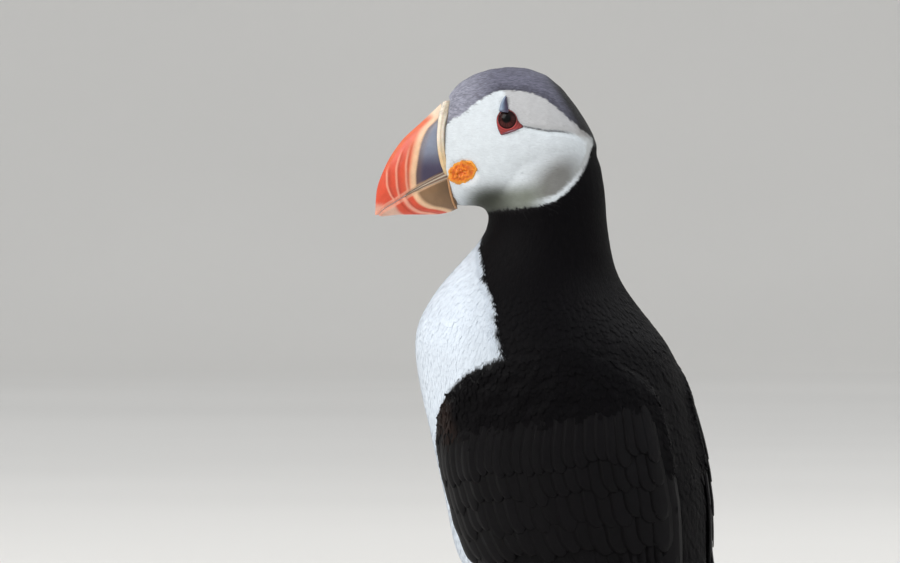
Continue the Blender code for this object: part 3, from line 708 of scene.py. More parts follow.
def in_zone(zone, name):
    return zone == ZONES.index(name)


@functools.cache
def solid_tree(nodes):
    """A search tree over these frame nodes together, in millimetres."""
    points, faces, start = [], [], 0
    for node in nodes:
        p, f = mesh_arrays(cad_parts[node].data)
        points.append(p)
        faces.append(f + start)
        start += len(p)
    return BVHTree.FromPolygons(np.concatenate(points).tolist(), np.concatenate(faces).tolist())


def nearest_zone(points):
    """The zone whose solid lies nearest to each point."""
    trees = [solid_tree(nodes) for nodes in ZONE_NODES.values()]
    return np.argmin([[tree.find_nearest(p)[3] for p in points.tolist()] for tree in trees], axis=0)


def thickness(surface, normals):
    """How far each point is from the far side of the shape, straight in."""
    found = []
    for point, normal in zip(surface.points, normals):
        hit = surface.tree.ray_cast(point - 0.3 * normal, -normal)
        found.append(99.0 if hit[0] is None else hit[3] + 0.3)
    return np.array(found)


def coat_depth(points, zone):
    """How deep the plumage is at each point."""
    z = points[:, 2]
    depth = np.zeros(len(z))
    for name in ZONES:
        depth = np.where(in_zone(zone, name), COAT_DEPTH[name], depth)
    for here, below, low, high in (("neck", "body", 160, 172), ("head", "neck", 193, 201)):
        change = (COAT_DEPTH[here] - COAT_DEPTH[below]) * ramp(z, low, high)
        depth = depth + change * in_zone(zone, "body")
    return depth + 1.3 * ramp(z, 106.0, 92.0) * in_zone(zone, "wing")


def furrow_depth(points):
    """The groove that runs back from each eye."""
    forward, side, up = on_head(points).T
    across = (up - CREASE(forward)) / 1.15
    ends = ramp(forward, -5.0, -7.5) * ramp(forward, -30.0, -23.0) * ramp(np.abs(side), 7.0, 10.0)
    return 0.75 * np.exp(-across ** 2) * ends * (points[:, 2] > 205)


def averaged_often(surface, values, rounds, share=1.0):
    """The values drawn this often towards their neighbours' means."""
    for _ in range(rounds):
        values = (1 - share) * values + share * surface.averaged(values)
    return values


def make_skin():
    growth = [(node, 0.25) for node in FLESH] + [("eye_left", 0.0), ("eye_right", 0.0)]
    surface = smoothed(remeshed(growth, settings("plumage").skin_voxel), 14)
    zone = nearest_zone(surface.points)
    height = surface.points[:, 2]
    surface = rounded(surface, 110, 0.35, ramp(height, 204, 190) * in_zone(zone, "body"))
    joint = ramp(height, 60, 54) * ramp(height, 33, 37) * (in_zone(zone, "thigh") | in_zone(zone, "body"))
    surface = rounded(surface, 60, 0.3, averaged_often(surface, joint, 4))
    normals = surface.normals()
    depth = averaged_often(surface, coat_depth(surface.points, zone) + 0.25, 6, 0.5)
    depth = averaged_often(surface, np.minimum(depth, 0.3 * thickness(surface, normals)), 3, 0.5)
    surface.points = surface.points - normals * (depth + furrow_depth(surface.points))[:, None]
    made = new_mesh_object("skin", surface.points, surface.faces)
    unwrap(made)
    store(made.data, "tone", plumage_tone(surface.points, zone))
    store(made.data, "zone", zone.astype(float))
    return finish_piece(made, skin_material(), FLESH)


def unwrap(obj):
    """Unwraps the object's own shape into a map named OFBake."""
    obj.data.uv_layers.new(name="OFBake")
    bpy.ops.object.select_all(action="DESELECT")
    obj.select_set(True)
    bpy.context.view_layer.objects.active = obj
    bpy.ops.object.mode_set(mode="EDIT")
    bpy.ops.mesh.select_all(action="SELECT")
    bpy.ops.uv.smart_project(angle_limit=math.radians(66), island_margin=0.002)
    bpy.ops.object.mode_set(mode="OBJECT")


# ================================================================ coat

class Skin:
    """The finished skin as triangles, with what each tuft of the coat needs to know at its root."""

    def __init__(self, obj):
        mesh = obj.data
        mesh.calc_loop_triangles()
        self.points = mesh_arrays(mesh)[0]
        self.faces = read_all(mesh.loop_triangles, "vertices", 3, np.int32)
        loops = read_all(mesh.loop_triangles, "loops", 3, np.int32)
        self.uv = read_all(mesh.uv_layers["OFBake"].data, "uv", 2, float)[loops]
        zone = read_all(mesh.attributes["zone"].data, "value", kind=float)
        surface = Surface(self.points, self.faces)
        self.normals = surface.normals()
        self.tree = surface.tree
        corners = self.points[self.faces]
        sides = corners[:, 1] - corners[:, 0], corners[:, 2] - corners[:, 0]
        self.areas = np.linalg.norm(np.cross(*sides), axis=1) / 2
        self.centres = corners.mean(axis=1)
        self.face_zone = np.round(np.median(zone[self.faces], axis=1)).astype(int)


@functools.cache
def skin():
    return Skin(bpy.data.objects["skin"])


class Roots:
    """Places on the skin: point, normal, unwrapped place and zone of each."""

    def __init__(self, face, share):
        s = skin()
        weights = share[:, :, None]
        self.point = (s.points[s.faces[face]] * weights).sum(axis=1)
        self.normal = unit((s.normals[s.faces[face]] * weights).sum(axis=1))
        self.uv = (s.uv[face] * weights).sum(axis=1)
        self.zone = s.face_zone[face]
        self.face = face
        self.share = share

    def keep(self, chosen):
        return Roots(self.face[chosen], self.share[chosen])


def scattered(wanted_faces, spacing, seed):
    """Roots spread evenly, and never nearer than spacing, over the wanted faces of the skin."""
    s = skin()
    rng = np.random.default_rng(settings("plumage").seed + seed)
    area = np.where(wanted_faces, s.areas, 0.0)
    count = int(TRIES_PER_ROOT * area.sum() / spacing ** 2)
    face = rng.choice(len(area), count, p=area / area.sum())
    a, b = rng.random((2, count))
    flip = a + b > 1
    a, b = np.where(flip, 1 - a, a), np.where(flip, 1 - b, b)
    roots = Roots(face, np.stack([1 - a - b, a, b], 1))
    return roots.keep(spaced_out(roots.point, spacing))


def spaced_out(points, spacing):
    """Indices of points, first come first kept, that are at least this far apart."""
    tree = KDTree(len(points))
    for index, point in enumerate(points.tolist()):
        tree.insert(point, index)
    tree.balance()
    free = np.ones(len(points), bool)
    kept = []
    for index, point in enumerate(points.tolist()):
        if free[index]:
            kept.append(index)
            free[[found[1] for found in tree.find_range(point, spacing)]] = False
    return np.array(kept)


# The vanes as (share of the length, half width) from root to tip, and the rise of their middle and fall of
# their edges.
VANES = {
    "tuft": ([(0.0, 0.34), (0.6, 0.5)], 0.5, 0.1),
    "contour": ([(0.0, 0.2), (0.38, 0.44), (0.72, 0.48), (0.92, 0.27)], 0.5, 0.1),
    "vane": ([(0.0, 0.16), (0.25, 0.38), (0.55, 0.5), (0.8, 0.45), (0.94, 0.26)], 0.6, 0.2),
}


def make_vane(kind):
    """A closed thin vane, 1 long and 1 wide.

    Each vertex carries its place on the leaf, and its height in shares of the vane's thickness.
    """
    rows, ridge, droop = VANES[kind]
    points, heights = [], []
    for along, half in rows:
        for across, high in ((-half, -droop), (half, -droop), (0.0, ridge)):
            points.append((across, along, 0.0))
            heights.append(high * min(1.0, 2.2 * half))
    faces = [(0, 2, 1)] + ring_faces(len(rows), 3) + fan(3 * (len(rows) - 1), 3, len(points))
    leaf = np.array(points + [(0.0, 1.0, 0.0)])
    made = new_mesh_object(kind + "_vane", leaf / MM, faces)
    leaf[:, 2] = heights + [0.0]
    store(made.data, "leaf", leaf)
    return made


COAT_INPUTS = (
    ("Roots", "NodeSocketGeometry", None), ("Skin", "NodeSocketObject", None),
    ("Vane", "NodeSocketObject", None), ("Material", "NodeSocketMaterial", None),
    ("Root depth", "NodeSocketFloat", 0.0002), ("Thickness", "NodeSocketFloat", 0.0002),
    ("Tip curve", "NodeSocketFloat", 1.2), ("Patch size", "NodeSocketFloat", 0.003),
)


@functools.cache
def coat_tree():
    """Sets a vane on every root, bends it to the skin, lifts its tip and gives it its patch of the map."""
    tree = bpy.data.node_groups.new("feather_coat", "GeometryNodeTree")
    tree.is_modifier = True
    for name, kind, default in COAT_INPUTS:
        socket = tree.interface.new_socket(name, in_out="INPUT", socket_type=kind)
        if default is not None:
            socket.default_value = default
    tree.interface.new_socket("Coat", in_out="OUTPUT", socket_type="NodeSocketGeometry")
    add = functools.partial(add_node, tree)
    given = add("NodeGroupInput").node.outputs
    read = {
        name: add("GeometryNodeInputNamedAttribute", {"Name": name}, "Attribute", data_type=kind)
        for kind, names in (("FLOAT_VECTOR", "out lie size leaf root_uv"), ("FLOAT", "lift zone"))
        for name in names.split()
    }
    vane = add("GeometryNodeObjectInfo", {"Object": given["Vane"]}, "Geometry")
    body = add("GeometryNodeObjectInfo", {"Object": given["Skin"]}, "Geometry")
    turn = {0: read["out"], 1: read["lie"]}
    turn = add("FunctionNodeAxesToRotation", turn, primary_axis="Z", secondary_axis="Y")
    placed = add("GeometryNodeInstanceOnPoints", {
        "Points": given["Roots"], "Instance": vane, "Rotation": turn, "Scale": read["size"],
    })
    here = add("GeometryNodeInputPosition")
    under, outward, zone = (
        add("GeometryNodeSampleNearestSurface", {"Mesh": body, "Value": value, "Sample Position": here},
            "Value", data_type="FLOAT_VECTOR")
        for value in (here, add("GeometryNodeInputNormal"), read["zone"])
    )
    leaf = add("ShaderNodeSeparateXYZ", {0: read["leaf"]}).node.outputs
    curve = add("ShaderNodeMath", {0: leaf[1], 1: given["Tip curve"]}, operation="POWER")
    rise = add("ShaderNodeMath", {0: curve, 1: read["lift"]}, operation="MULTIPLY")
    height = add("ShaderNodeMath", {0: leaf[2], 1: given["Thickness"], 2: rise}, operation="MULTIPLY_ADD")
    height = add("ShaderNodeMath", {0: height, 1: given["Root depth"]}, operation="SUBTRACT")
    offset = add("ShaderNodeVectorMath", {0: outward, "Scale": height}, operation="SCALE")
    place = add("ShaderNodeVectorMath", {0: under, 1: offset}, operation="ADD")
    patch = add("ShaderNodeVectorMath", {0: read["leaf"], "Scale": given["Patch size"]}, operation="SCALE")
    spot = add("ShaderNodeVectorMath", {0: patch, 1: read["root_uv"]}, operation="ADD")
    real = add("GeometryNodeRealizeInstances", {0: placed})
    coat = add("GeometryNodeSetPosition", {"Geometry": real, "Position": place})
    for name, kind, domain, value in (
        ("skin_out", "FLOAT_VECTOR", "POINT", outward), ("OFBake", "FLOAT2", "CORNER", spot),
        ("zone_under", "FLOAT", "POINT", add("ShaderNodeSeparateXYZ", {0: zone})),
    ):
        inputs = {"Geometry": coat, "Name": name, "Value": value}
        coat = add("GeometryNodeStoreNamedAttribute", inputs, data_type=kind, domain=domain)
    coat = add("GeometryNodeSetMaterial", {"Geometry": coat, "Material": given["Material"]})
    add("NodeGroupOutput", {0: coat})
    return tree


# ---------------------------------------------------------------- the lie of the feathers

def from_eye(head_points):
    """Forward and up from the middle of the eye."""
    return head_points[:, 0] - EYE_PLACE[0], head_points[:, 2] - EYE_PLACE[1]


def head_lie(points):
    """Backward flow parted round the eye, drawn into the furrow and down towards the neck."""
    h = on_head(points)
    x, y = from_eye(h)
    squared = np.maximum(x * x + y * y, 9.0)
    pull = 3.4 ** 2 / squared
    forward, up = -1 + pull * (-1 + 2 * x * x / squared), pull * (2 * x * y / squared)
    over = h[:, 2] - CREASE(h[:, 0])
    down = 0.12 + 1.1 * ramp(h[:, 0], -16.0, -31.0)
    toward_furrow = -0.35 * np.tanh(over / 2.0) * ramp(np.abs(over), 6.0, 2.0) * ramp(h[:, 0], -4.0, -8.0)
    return np.stack([forward, np.zeros(len(h)), up - down + toward_furrow], 1) @ HEAD_AXES


def body_lie(points):
    lean = np.radians(BODY_LEAN(points[:, 2]))
    fan_out = 0.12 * np.tanh(points[:, 0] / 18.0) * ramp(points[:, 2], 60.0, 120.0)
    return np.stack([fan_out, np.sin(lean), -np.cos(lean)], 1)


def wing_lie(points):
    angle = angle_from_front(points)
    lean, turn = np.radians(38.0 - 0.3 * (angle - 40.0)), np.radians(angle)
    out = np.sign(points[:, 0]) * np.cos(turn)
    return np.stack([out * np.sin(lean), np.sin(turn) * np.sin(lean), -np.cos(lean)], 1)


TAIL_LIE = np.array([0.0, 0.72, -0.69])


def lie_of_feathers(roots):
    points = roots.point
    flow = mix(body_lie(points), head_lie(points), ramp(points[:, 2], 192.0, 203.0))
    for name, lie in (("wing", wing_lie(points)), ("tail", TAIL_LIE)):
        flow = np.where(in_zone(roots.zone, name)[:, None], lie, flow)
    return unit(flow - roots.normal * (flow * roots.normal).sum(axis=1, keepdims=True))


def turned(flow, normal, degrees):
    turn = np.radians(degrees)[:, None]
    return flow * np.cos(turn) + np.cross(normal, flow) * np.sin(turn)


class Coat(typing.NamedTuple):
    """The look of one group of feathers. Lengths in millimetres; a number, or one for each root."""

    vane: str
    length: float
    width: float
    lift: float
    root_depth: float
    thickness: float
    carried: float = 0.4   # how far a vane carries the colour of its root along, from 0 to 1


def grow(name, roots, coat, seed, straggle=7.0, contrast=0.12):
    """One coat piece: a vane of this coat on each root."""
    rng = np.random.default_rng(seed)
    count = len(roots.point)
    lie = turned(lie_of_feathers(roots), roots.normal, rng.normal(0, straggle, count))
    stretch = rng.uniform(0.85, 1.15, count)
    width = np.broadcast_to(coat.width, count) * rng.uniform(0.9, 1.1, count)
    size = np.stack([width, np.broadcast_to(coat.length, count) * stretch, np.ones(count) / MM], 1)
    points = new_mesh_object(name + "_roots", roots.point, [])
    for key, values in {
        "size": size * MM, "out": roots.normal, "lie": lie,
        "lift": np.broadcast_to(coat.lift, count) * rng.uniform(0.8, 1.12, count) * MM,
        "root_uv": np.column_stack([roots.uv, np.zeros(count)]), "root": roots.point,
        "zone": roots.zone.astype(float), "shade": rng.uniform(1 - contrast, 1 + contrast * 0.6, count),
    }.items():
        store(points.data, key, values)
    vane = make_vane(coat.vane)
    finish = feather_material(*feather_finish(name))
    add_coat_modifier(points, vane, coat, finish)
    mesh = evaluated_mesh(points)
    drop(points, vane)
    mesh.shade_smooth()
    soften(mesh)
    mark_vanes(mesh, coat.carried)
    for spare in ("size", "out", "lie", "lift", "root_uv", "skin_out", "root", "zone", "zone_under"):
        if spare in mesh.attributes:
            mesh.attributes.remove(mesh.attributes[spare])
    mesh.name = name
    return finish_piece(linked(name, mesh), finish)


def mark_vanes(mesh, carried):
    """Colours the vanes by where they lie, drawn back towards their roots by the share carried along."""
    root = read_all(mesh.attributes["root"].data, "vector", 3)
    grown_on, lies_on = (
        np.round(read_all(mesh.attributes[name].data, "value")).astype(int)
        for name in ("zone", "zone_under")
    )
    zone = np.where(in_zone(grown_on, "body"), lies_on, grown_on)
    store(mesh, "tone", plumage_tone(mix(mesh_arrays(mesh)[0], root, carried), zone))


def soften(mesh):
    """Lights the top of each vane partly as the skin under it, so that the plumage reads as one surface."""
    vertex = read_all(mesh.loops, "vertex_index", kind=np.int32)
    smooth = read_all(mesh.attributes["skin_out"].data, "vector", 3)[vertex]
    sizes = read_all(mesh.polygons, "loop_total", kind=np.int32)
    own = read_all(mesh.polygons, "normal", 3).repeat(sizes, axis=0)
    top = (own * smooth).sum(axis=1, keepdims=True) > 0
    lit = np.where(top, unit(own * (1 - SOFTNESS) + smooth * SOFTNESS), own)
    mesh.normals_split_custom_set(lit.tolist())


def feather_finish(piece):
    """Material name, roughness, sheen and specular level of a coat piece."""
    if piece.startswith(("face", "crown")):
        return "fine_head_feather", 0.8, 0.15, 0.2
    if piece.startswith(("breast", "belly", "thigh", "vent")):
        return "soft_white_feather", 0.75, 0.15, 0.2
    return "black_feather", 0.6, 0.0, 0.06


def add_coat_modifier(points, vane, coat, finish):
    step = points.modifiers.new("coat", "NODES")
    step.node_group = coat_tree()
    given = {
        "Skin": bpy.data.objects["skin"], "Vane": vane, "Material": finish,
        "Root depth": coat.root_depth * MM, "Thickness": coat.thickness * MM,
    }
    for socket in step.node_group.interface.items_tree:
        if socket.name in given and socket.in_out == "INPUT":
            step[socket.identifier] = given[socket.name]


# The bare skin round the eye: degrees up from straight ahead, and distance from the eye's middle.
LID_OUTLINE = (
    (-157, 6.7), (-140, 5.6), (-111, 4.95), (-82, 5.5), (-69, 6.2), (-58, 5.5), (-38, 4.6), (-19, 4.15),
    (9, 3.95), (36, 4.0), (62, 4.35), (90, 4.2), (119, 3.85), (151, 3.8), (180, 4.05), (194, 5.0),
)
LID_CURVE = smooth_curve([(turn + 360 * k, reach) for k in (-1, 0, 1) for turn, reach in LID_OUTLINE])


def lid_reach(angle):
    """How far the bare skin reaches from the eye's middle in each direction, in radians."""
    return LID_CURVE(np.degrees(angle))


def near_eye(head_points):
    """Whether each point of the head lies on the bare skin round an eye, or under the plate above it."""
    x, y = from_eye(head_points)
    patch = np.hypot(x, y) < lid_reach(np.arctan2(y, x)) + 0.1
    plate = (np.abs(x - 1.0) < 1.3 * ramp(y, 9.6, 7.2)) & (y > 0) & (y < 8.6)
    return (patch | plate) & (np.abs(head_points[:, 1]) > 8)


def head_faces():
    """What is head, face and bare on the skin's faces: (on the head, inside the face, bare)."""
    s = skin()
    h = on_head(s.centres)
    forward, _, up = h.T
    on = (s.centres[:, 2] > 196.0) & in_zone(s.face_zone, "body")
    at_bill = (forward > 24.6 - 0.0133 * (up + 6.5) ** 2) & (up > -22.0)
    at_chin = (up <= -22.0) & (forward > 21.3) & (up > -33.0)
    gape = ((forward - GAPE_PLACE[0]) / 5.3) ** 2 + ((up - GAPE_PLACE[1]) / 4.0) ** 2 < 1
    return on, in_face(h), at_bill | at_chin | gape | near_eye(h)


def grow_face():
    """The fine tufts of face and crown, and white strands over the face's lower and rear edge."""
    c = settings("plumage")
    on, inside, bare = head_faces()
    forward, _, up = on_head(skin().centres).T
    low = (up < -9.0) | (forward < -27.0)
    white, crown = inside > np.where(low, 0.9, 0.0), (inside <= 0) & (up > -8.0)
    for name, part, spacing, seed, lift, thick, contrast in (
        ("face_feathers", white, c.face_spacing, 0, 0.12, 0.025, 0.04),
        ("crown_feathers", crown, c.crown_spacing, 1, 0.24, 0.04, 0.34),
    ):
        roots = scattered(on & ~bare & part, spacing, seed)
        h = on_head(roots.point)
        from_bill, from_eye_ring = ramp(h[:, 0], 24.0, 8.0), ramp(np.hypot(*from_eye(h)), 4.0, 9.0)
        share = 0.35 + 0.3 * from_bill * from_eye_ring + 0.35 * from_eye_ring
        coat = Coat("tuft", 2.7 * share, 0.55, lift * (0.4 + 0.6 * share), 0.02, thick)
        grow(name, roots, coat, 21 + seed, contrast=contrast)
    edge = on & ~bare & low & (inside > 0.1) & (inside < 1.3)
    roots = scattered(edge, c.strand_spacing * 0.8, 9)
    grow("face_fringe", roots, Coat("tuft", 1.7, 0.17, 0.26, 0.02, 0.03, carried=1.0), 29, 14.0)


def under_wing(face_mask):
    """Which of these faces another part of the skin covers closely, such as the flank under the wing."""
    s = skin()
    covered = np.zeros(len(s.faces), bool)
    normals = unit(s.normals[s.faces[face_mask]].sum(axis=1))
    starts = s.centres[face_mask] + 0.4 * normals
    hits = [s.tree.ray_cast(a, b, 9.0)[0] is not None for a, b in zip(starts.tolist(), normals.tolist())]
    covered[face_mask] = hits
    return covered


@functools.cache
def body_faces():
    """The body's faces that show, how many degrees each lies inside the white of the breast, and which
    lie along the line where that white meets the black of neck and shoulder."""
    s = skin()
    on, inside, _ = head_faces()
    crown = on & ((inside > 0) | (on_head(s.centres)[:, 2] > -8.0))
    body = in_zone(s.face_zone, "body") & ~crown
    side, back, height = np.abs(s.centres[:, 0]), s.centres[:, 1], s.centres[:, 2]
    by_thigh = (side < 35.0) & (back < 32.0) & (height < 55.0)
    within = np.where(by_thigh, 90.0, BREAST_EDGE(height) - angle_from_front(s.centres))
    edge = (np.abs(within) < 5.0) & (height > 118.0) & (height < 200.0)
    return body & (~under_wing(body) | by_thigh), within, edge


def grow_neck():
    shows, within, edge = body_faces()
    clear = in_face(on_head(skin().centres)) < -1.1
    part = shows & (within < 0) & clear & ~edge & (skin().centres[:, 2] > NECK_BASE)
    roots = scattered(part, settings("plumage").neck_spacing, 2)
    up = ramp(roots.point[:, 2], 175.0, 205.0)
    coat = Coat("contour", 5.0 - 1.9 * up, 1.3 - 0.4 * up, 0.26 - 0.1 * up, 0.03, 0.04, carried=1.0)
    grow("neck_feathers", roots, coat, 23, contrast=0.2)


def grow_edge():
    """Small feathers on both sides of the breast's edge, and fine white strands across it."""
    c = settings("plumage")
    shows, within, edge = body_faces()
    coat = Coat("tuft", 2.9, 0.75, 0.3, 0.02, 0.04, carried=1.0)
    for name, part, seed in (("breast_edge", within > 0, 12), ("neck_edge", within <= 0, 13)):
        roots = scattered(shows & edge & part, c.crown_spacing, seed)
        grow(name + "_feathers", roots, coat, 20 + seed, contrast=0.06)
    roots = scattered(shows & (within > -0.5) & (within < 3.0) & edge, c.strand_spacing * 1.5, 10)
    grow("breast_fringe", roots, Coat("tuft", 3.2, 0.22, 0.42, 0.02, 0.03, carried=1.0), 30, 18.0, 0.08)


def grow_underside():
    c = settings("plumage")
    shows, within, edge = body_faces()
    height = skin().centres[:, 2]
    for name, low, high, seed in (("breast", 92.0, 200.0, 3), ("belly", 34.0, 92.0, 4)):
        part = shows & (within >= 0) & ~edge & (height > low) & (height <= high)
        roots = scattered(part, c.breast_spacing, seed)
        down = ramp(roots.point[:, 2], 150.0, 60.0)
        coat = Coat("contour", 5.6 + 2.0 * down, 1.5 + 0.6 * down, 0.28 + 0.2 * down, 0.03, 0.05)
        grow(name + "_feathers", roots, coat, 20 + seed, contrast=0.035)
    roots = scattered(shows & (within >= 0) & (height <= 34.0), c.vent_spacing, 5)
    grow("vent_feathers", roots, Coat("contour", 7.0, 2.0, 0.8, 0.1, 0.08), 25, 10.0, 0.05)


def grow_back():
    shows, within, edge = body_faces()
    part = shows & (within < 0) & ~edge & (skin().centres[:, 2] <= NECK_BASE)
    roots = scattered(part, settings("plumage").back_spacing, 6)
    down = ramp(roots.point[:, 2], NECK_BASE, 135.0)
    coat = Coat("vane", 5.5 + 4.5 * down, 2.3 + 1.9 * down, 0.34 + 0.3 * down, 0.05, 0.07, carried=1.0)
    grow("back_feathers", roots, coat, 26, 5.0, 0.25)


def grow_thighs():
    roots = scattered(in_zone(skin().face_zone, "thigh"), settings("plumage").thigh_spacing, 7)
    grow("thigh_feathers", roots, Coat("contour", 4.2, 1.3, 0.25, 0.03, 0.05), 27, 6.0, 0.04)


def grow_coverts():
    s = skin()
    on_wing = in_zone(s.face_zone, "wing")
    shows = on_wing & ~under_wing(on_wing)
    for word, side in SIDES:
        part = shows & (side * s.centres[:, 0] > 0) & (s.centres[:, 2] > 102.0)
        roots = scattered(part, settings("plumage").covert_spacing, 8)
        z = roots.point[:, 2]
        edge = ramp(angle_from_front(roots.point) - WING_FRONT(z), 2.0, 16.0)
        low = ramp(z, 122.0, 103.0)
        length, width = 4.6 + 2.5 * edge + 3.0 * low, 2.1 + 1.3 * edge + 1.6 * low
        coat = Coat("vane", length, width, 0.7 + 0.5 * low, 0.06, 0.1)
        grow(f"wing_coverts_{word}", roots, coat, 28, 5.0, 0.25)


# ---------------------------------------------------------------- large feathers laid one by one

class Chart:
    """A smooth sheet over one side of a solid, for laying feathers on.

    ray(a, b) gives a start outside the solid and a direction to it. Where it misses, the sheet
    runs on from its neighbours.
    """

    def __init__(self, nodes, ray, a_values, b_values):
        self.ray = ray
        self.a, self.b = np.asarray(a_values, float), np.asarray(b_values, float)
        tree = solid_tree(nodes)
        reach = np.full((len(self.a), len(self.b)), np.nan)
        for i, a in enumerate(self.a):
            for j, b in enumerate(self.b):
                start, direction = ray(a, b)
                hit = tree.ray_cast(start.tolist(), direction.tolist())
                if hit[0] is not None:
                    reach[i, j] = hit[3]
        self.reach = self.filled(reach)

    @staticmethod
    def filled(reach):
        known = ~np.isnan(reach)
        values = np.where(known, reach, np.nanmean(reach))
        for _ in range(600):
            padded = np.pad(values, 1, mode="reflect", reflect_type="odd")
            around = (padded[:-2, 1:-1] + padded[2:, 1:-1] + padded[1:-1, :-2] + padded[1:-1, 2:]) / 4
            values = np.where(known, 0.9 * reach + 0.1 * around, around)
        return values

    def depth(self, a, b):
        """Distance along the ray, between the grid's points."""
        x = np.clip((a - self.a[0]) / (self.a[1] - self.a[0]), 0, len(self.a) - 1.001)
        y = np.clip((b - self.b[0]) / (self.b[1] - self.b[0]), 0, len(self.b) - 1.001)
        i, j = int(x), int(y)
        s, t = x - i, y - j
        r = self.reach
        return ((1 - s) * (1 - t) * r[i, j] + s * (1 - t) * r[i + 1, j]
                + (1 - s) * t * r[i, j + 1] + s * t * r[i + 1, j + 1])

    def surface(self, a, b):
        start, direction = self.ray(a, b)
        return start + direction * self.depth(a, b)

    def place(self, a, b, height):
        """A point this high over the sheet."""
        here = self.surface(a, b)
        step_a, step_b = 2 * (self.a[1] - self.a[0]), 2 * (self.b[1] - self.b[0])
        along_a = self.surface(a + step_a, b) - self.surface(a - step_a, b)
        along_b = self.surface(a, b + step_b) - self.surface(a, b - step_b)
        out = unit(np.cross(along_a, along_b))
        direction = self.ray(a, b)[1]
        return here + out * height * (-1 if out @ direction > 0 else 1)


class Quill(typing.NamedTuple):
    """One large feather on a chart: its line, its width and how high it lies."""

    line: object           # share of the length -> (a, b)
    width: float
    height: object         # share of the length -> height over the sheet
    tip: float             # how blunt the end is, 0 for pointed
    skew: float            # how far the shaft lies to one side
    shade: float
    tilt: float = 0.0      # how far its front edge stands over its rear edge, so that each laps the next


def quill_half_width(share, width, tip):
    root = 0.35 + 0.65 * ramp(share, 0.0, 0.3)
    end = np.clip((1 - share) / (0.10 + 0.25 * (1 - tip)), 0, 1)
    return width / 2 * root * (1 - (1 - end) ** 2.2) ** (0.5 + 0.25 * (1 - tip))


# The 8 points round a large feather, upper side and then lower: place across, and whether below.
QUILL_RING = ((-1, 0), (-0.55, 0), (0, 0), (0.55, 0), (1, 0), (0.55, 1), (0, 1), (-0.55, 1))
RING_ACROSS = (-0.5, -0.28, 0.0, 0.28, 0.5, 0.28, 0.0, -0.28)
BARB_SCALE = 5.0   # the length of a small feather, for which the barbs in its material are drawn


def quill_rings(chart, quill, metric, rows):
    """Rings of points round the feather. metric is millimetres for one unit of the chart's a and b."""
    rings = []
    shares = [1 - (1 - k / rows) ** 1.5 for k in range(rows)] + [0.985]
    for share in shares:
        a, b = quill.line(share)
        ahead, behind = quill.line(min(1, share + 0.02)), quill.line(max(0, share - 0.02))
        along = unit((np.array(ahead) - behind) * metric)
        across = np.array([-along[1], along[0]]) * quill_half_width(share, quill.width, quill.tip)
        ring = []
        for column, lower in QUILL_RING:
            shift = across * (column + quill.skew * (1 - column * column))
            bow = 0.1 * math.exp(-(column / 0.2) ** 2) - 0.12 * column * column
            rise = quill.height(share) + bow - quill.tilt * column - 0.3 * lower * (1 - 0.5 * share)
            ring.append(chart.place(a + shift[0] / metric[0], b + shift[1] / metric[1], rise))
        rings.append(ring)
    tip = chart.place(*quill.line(1.0), quill.height(1.0) - 0.1)
    length = sum(np.linalg.norm(b[2] - a[2]) for a, b in zip(rings, rings[1:]))
    return rings, tip, shares, length


def lay_quills(name, chart, quills, metric, tone, rows=14):
    """Many large feathers as one piece, each with its patch of the skin's map."""
    s = skin()
    around = len(QUILL_RING)
    points, faces, leaf, shade, patch = [], [], [], [], []
    for quill in quills:
        start = len(points)
        rings, tip, shares, length = quill_rings(chart, quill, metric, rows)
        wide, long = quill.width / BARB_SCALE, length / BARB_SCALE
        face = s.tree.find_nearest(rings[0][2].tolist())[2]
        for ring, share in zip(rings, shares):
            points += ring
            leaf += [(across * wide, share * long, 0.0) for across in RING_ACROSS]
        faces.append([start + k for k in reversed(range(around))])
        faces += ring_faces(len(rings), around, start) + fan(len(points) - around, around, len(points))
        points.append(tip)
        leaf.append((0.0, long, 0.0))
        shade += [quill.shade] * (len(points) - start)
        patch += [s.uv[face].mean(axis=0)] * (len(points) - start)
    finish = feather_material("flight_feather", 0.55, 0.0, 0.1)
    made = solid_piece(name, points, faces, tone, finish, "plumage")
    store(made.data, "leaf", leaf)
    store(made.data, "shade", shade)
    vertex = read_all(made.data.loops, "vertex_index", kind=np.int32)
    spots = (np.array(patch) + np.array(leaf)[:, :2] * 0.001)[vertex]
    made.data.uv_layers.new(name="OFBake").data.foreach_set("uv", spots.astype(np.float32).ravel())


WING_FRONT = smooth_curve([
    (18, 100), (26, 88), (34, 77), (44, 65), (54, 56), (64.5, 48), (85, 35), (102, 32), (118, 44),
    (127, 56), (135, 72), (142, 93), (147, 122),
])
WING_BACK = smooth_curve([(18, 118), (25, 150), (34, 163), (126, 165), (135, 158), (143, 143), (147, 128)])
WING_TIP_HEIGHT = smooth_curve([(0, 18.7), (0.25, 19.0), (0.5, 20.4), (0.7, 22.8), (0.85, 26.5), (1, 35)])
LOWEST_FEATHER = 18.9
TAIL_FEATHERS = 16


def wing_ray(side):
    def ray(angle, z):
        turn = math.radians(angle)
        outward = np.array([side * math.sin(turn), -math.cos(turn), 0.0])
        return np.array([0.0, BODY_MIDDLE(z), z]) + outward * 90.0, -outward
    return ray


def wing_line(spread, top, bottom):
    """A line down the wing. spread is 0 at its front edge and 1 at its back."""
    def line(share):
        z = top + (bottom - top) * share
        return WING_FRONT(z) + (WING_BACK(z) - WING_FRONT(z)) * spread, z
    return line


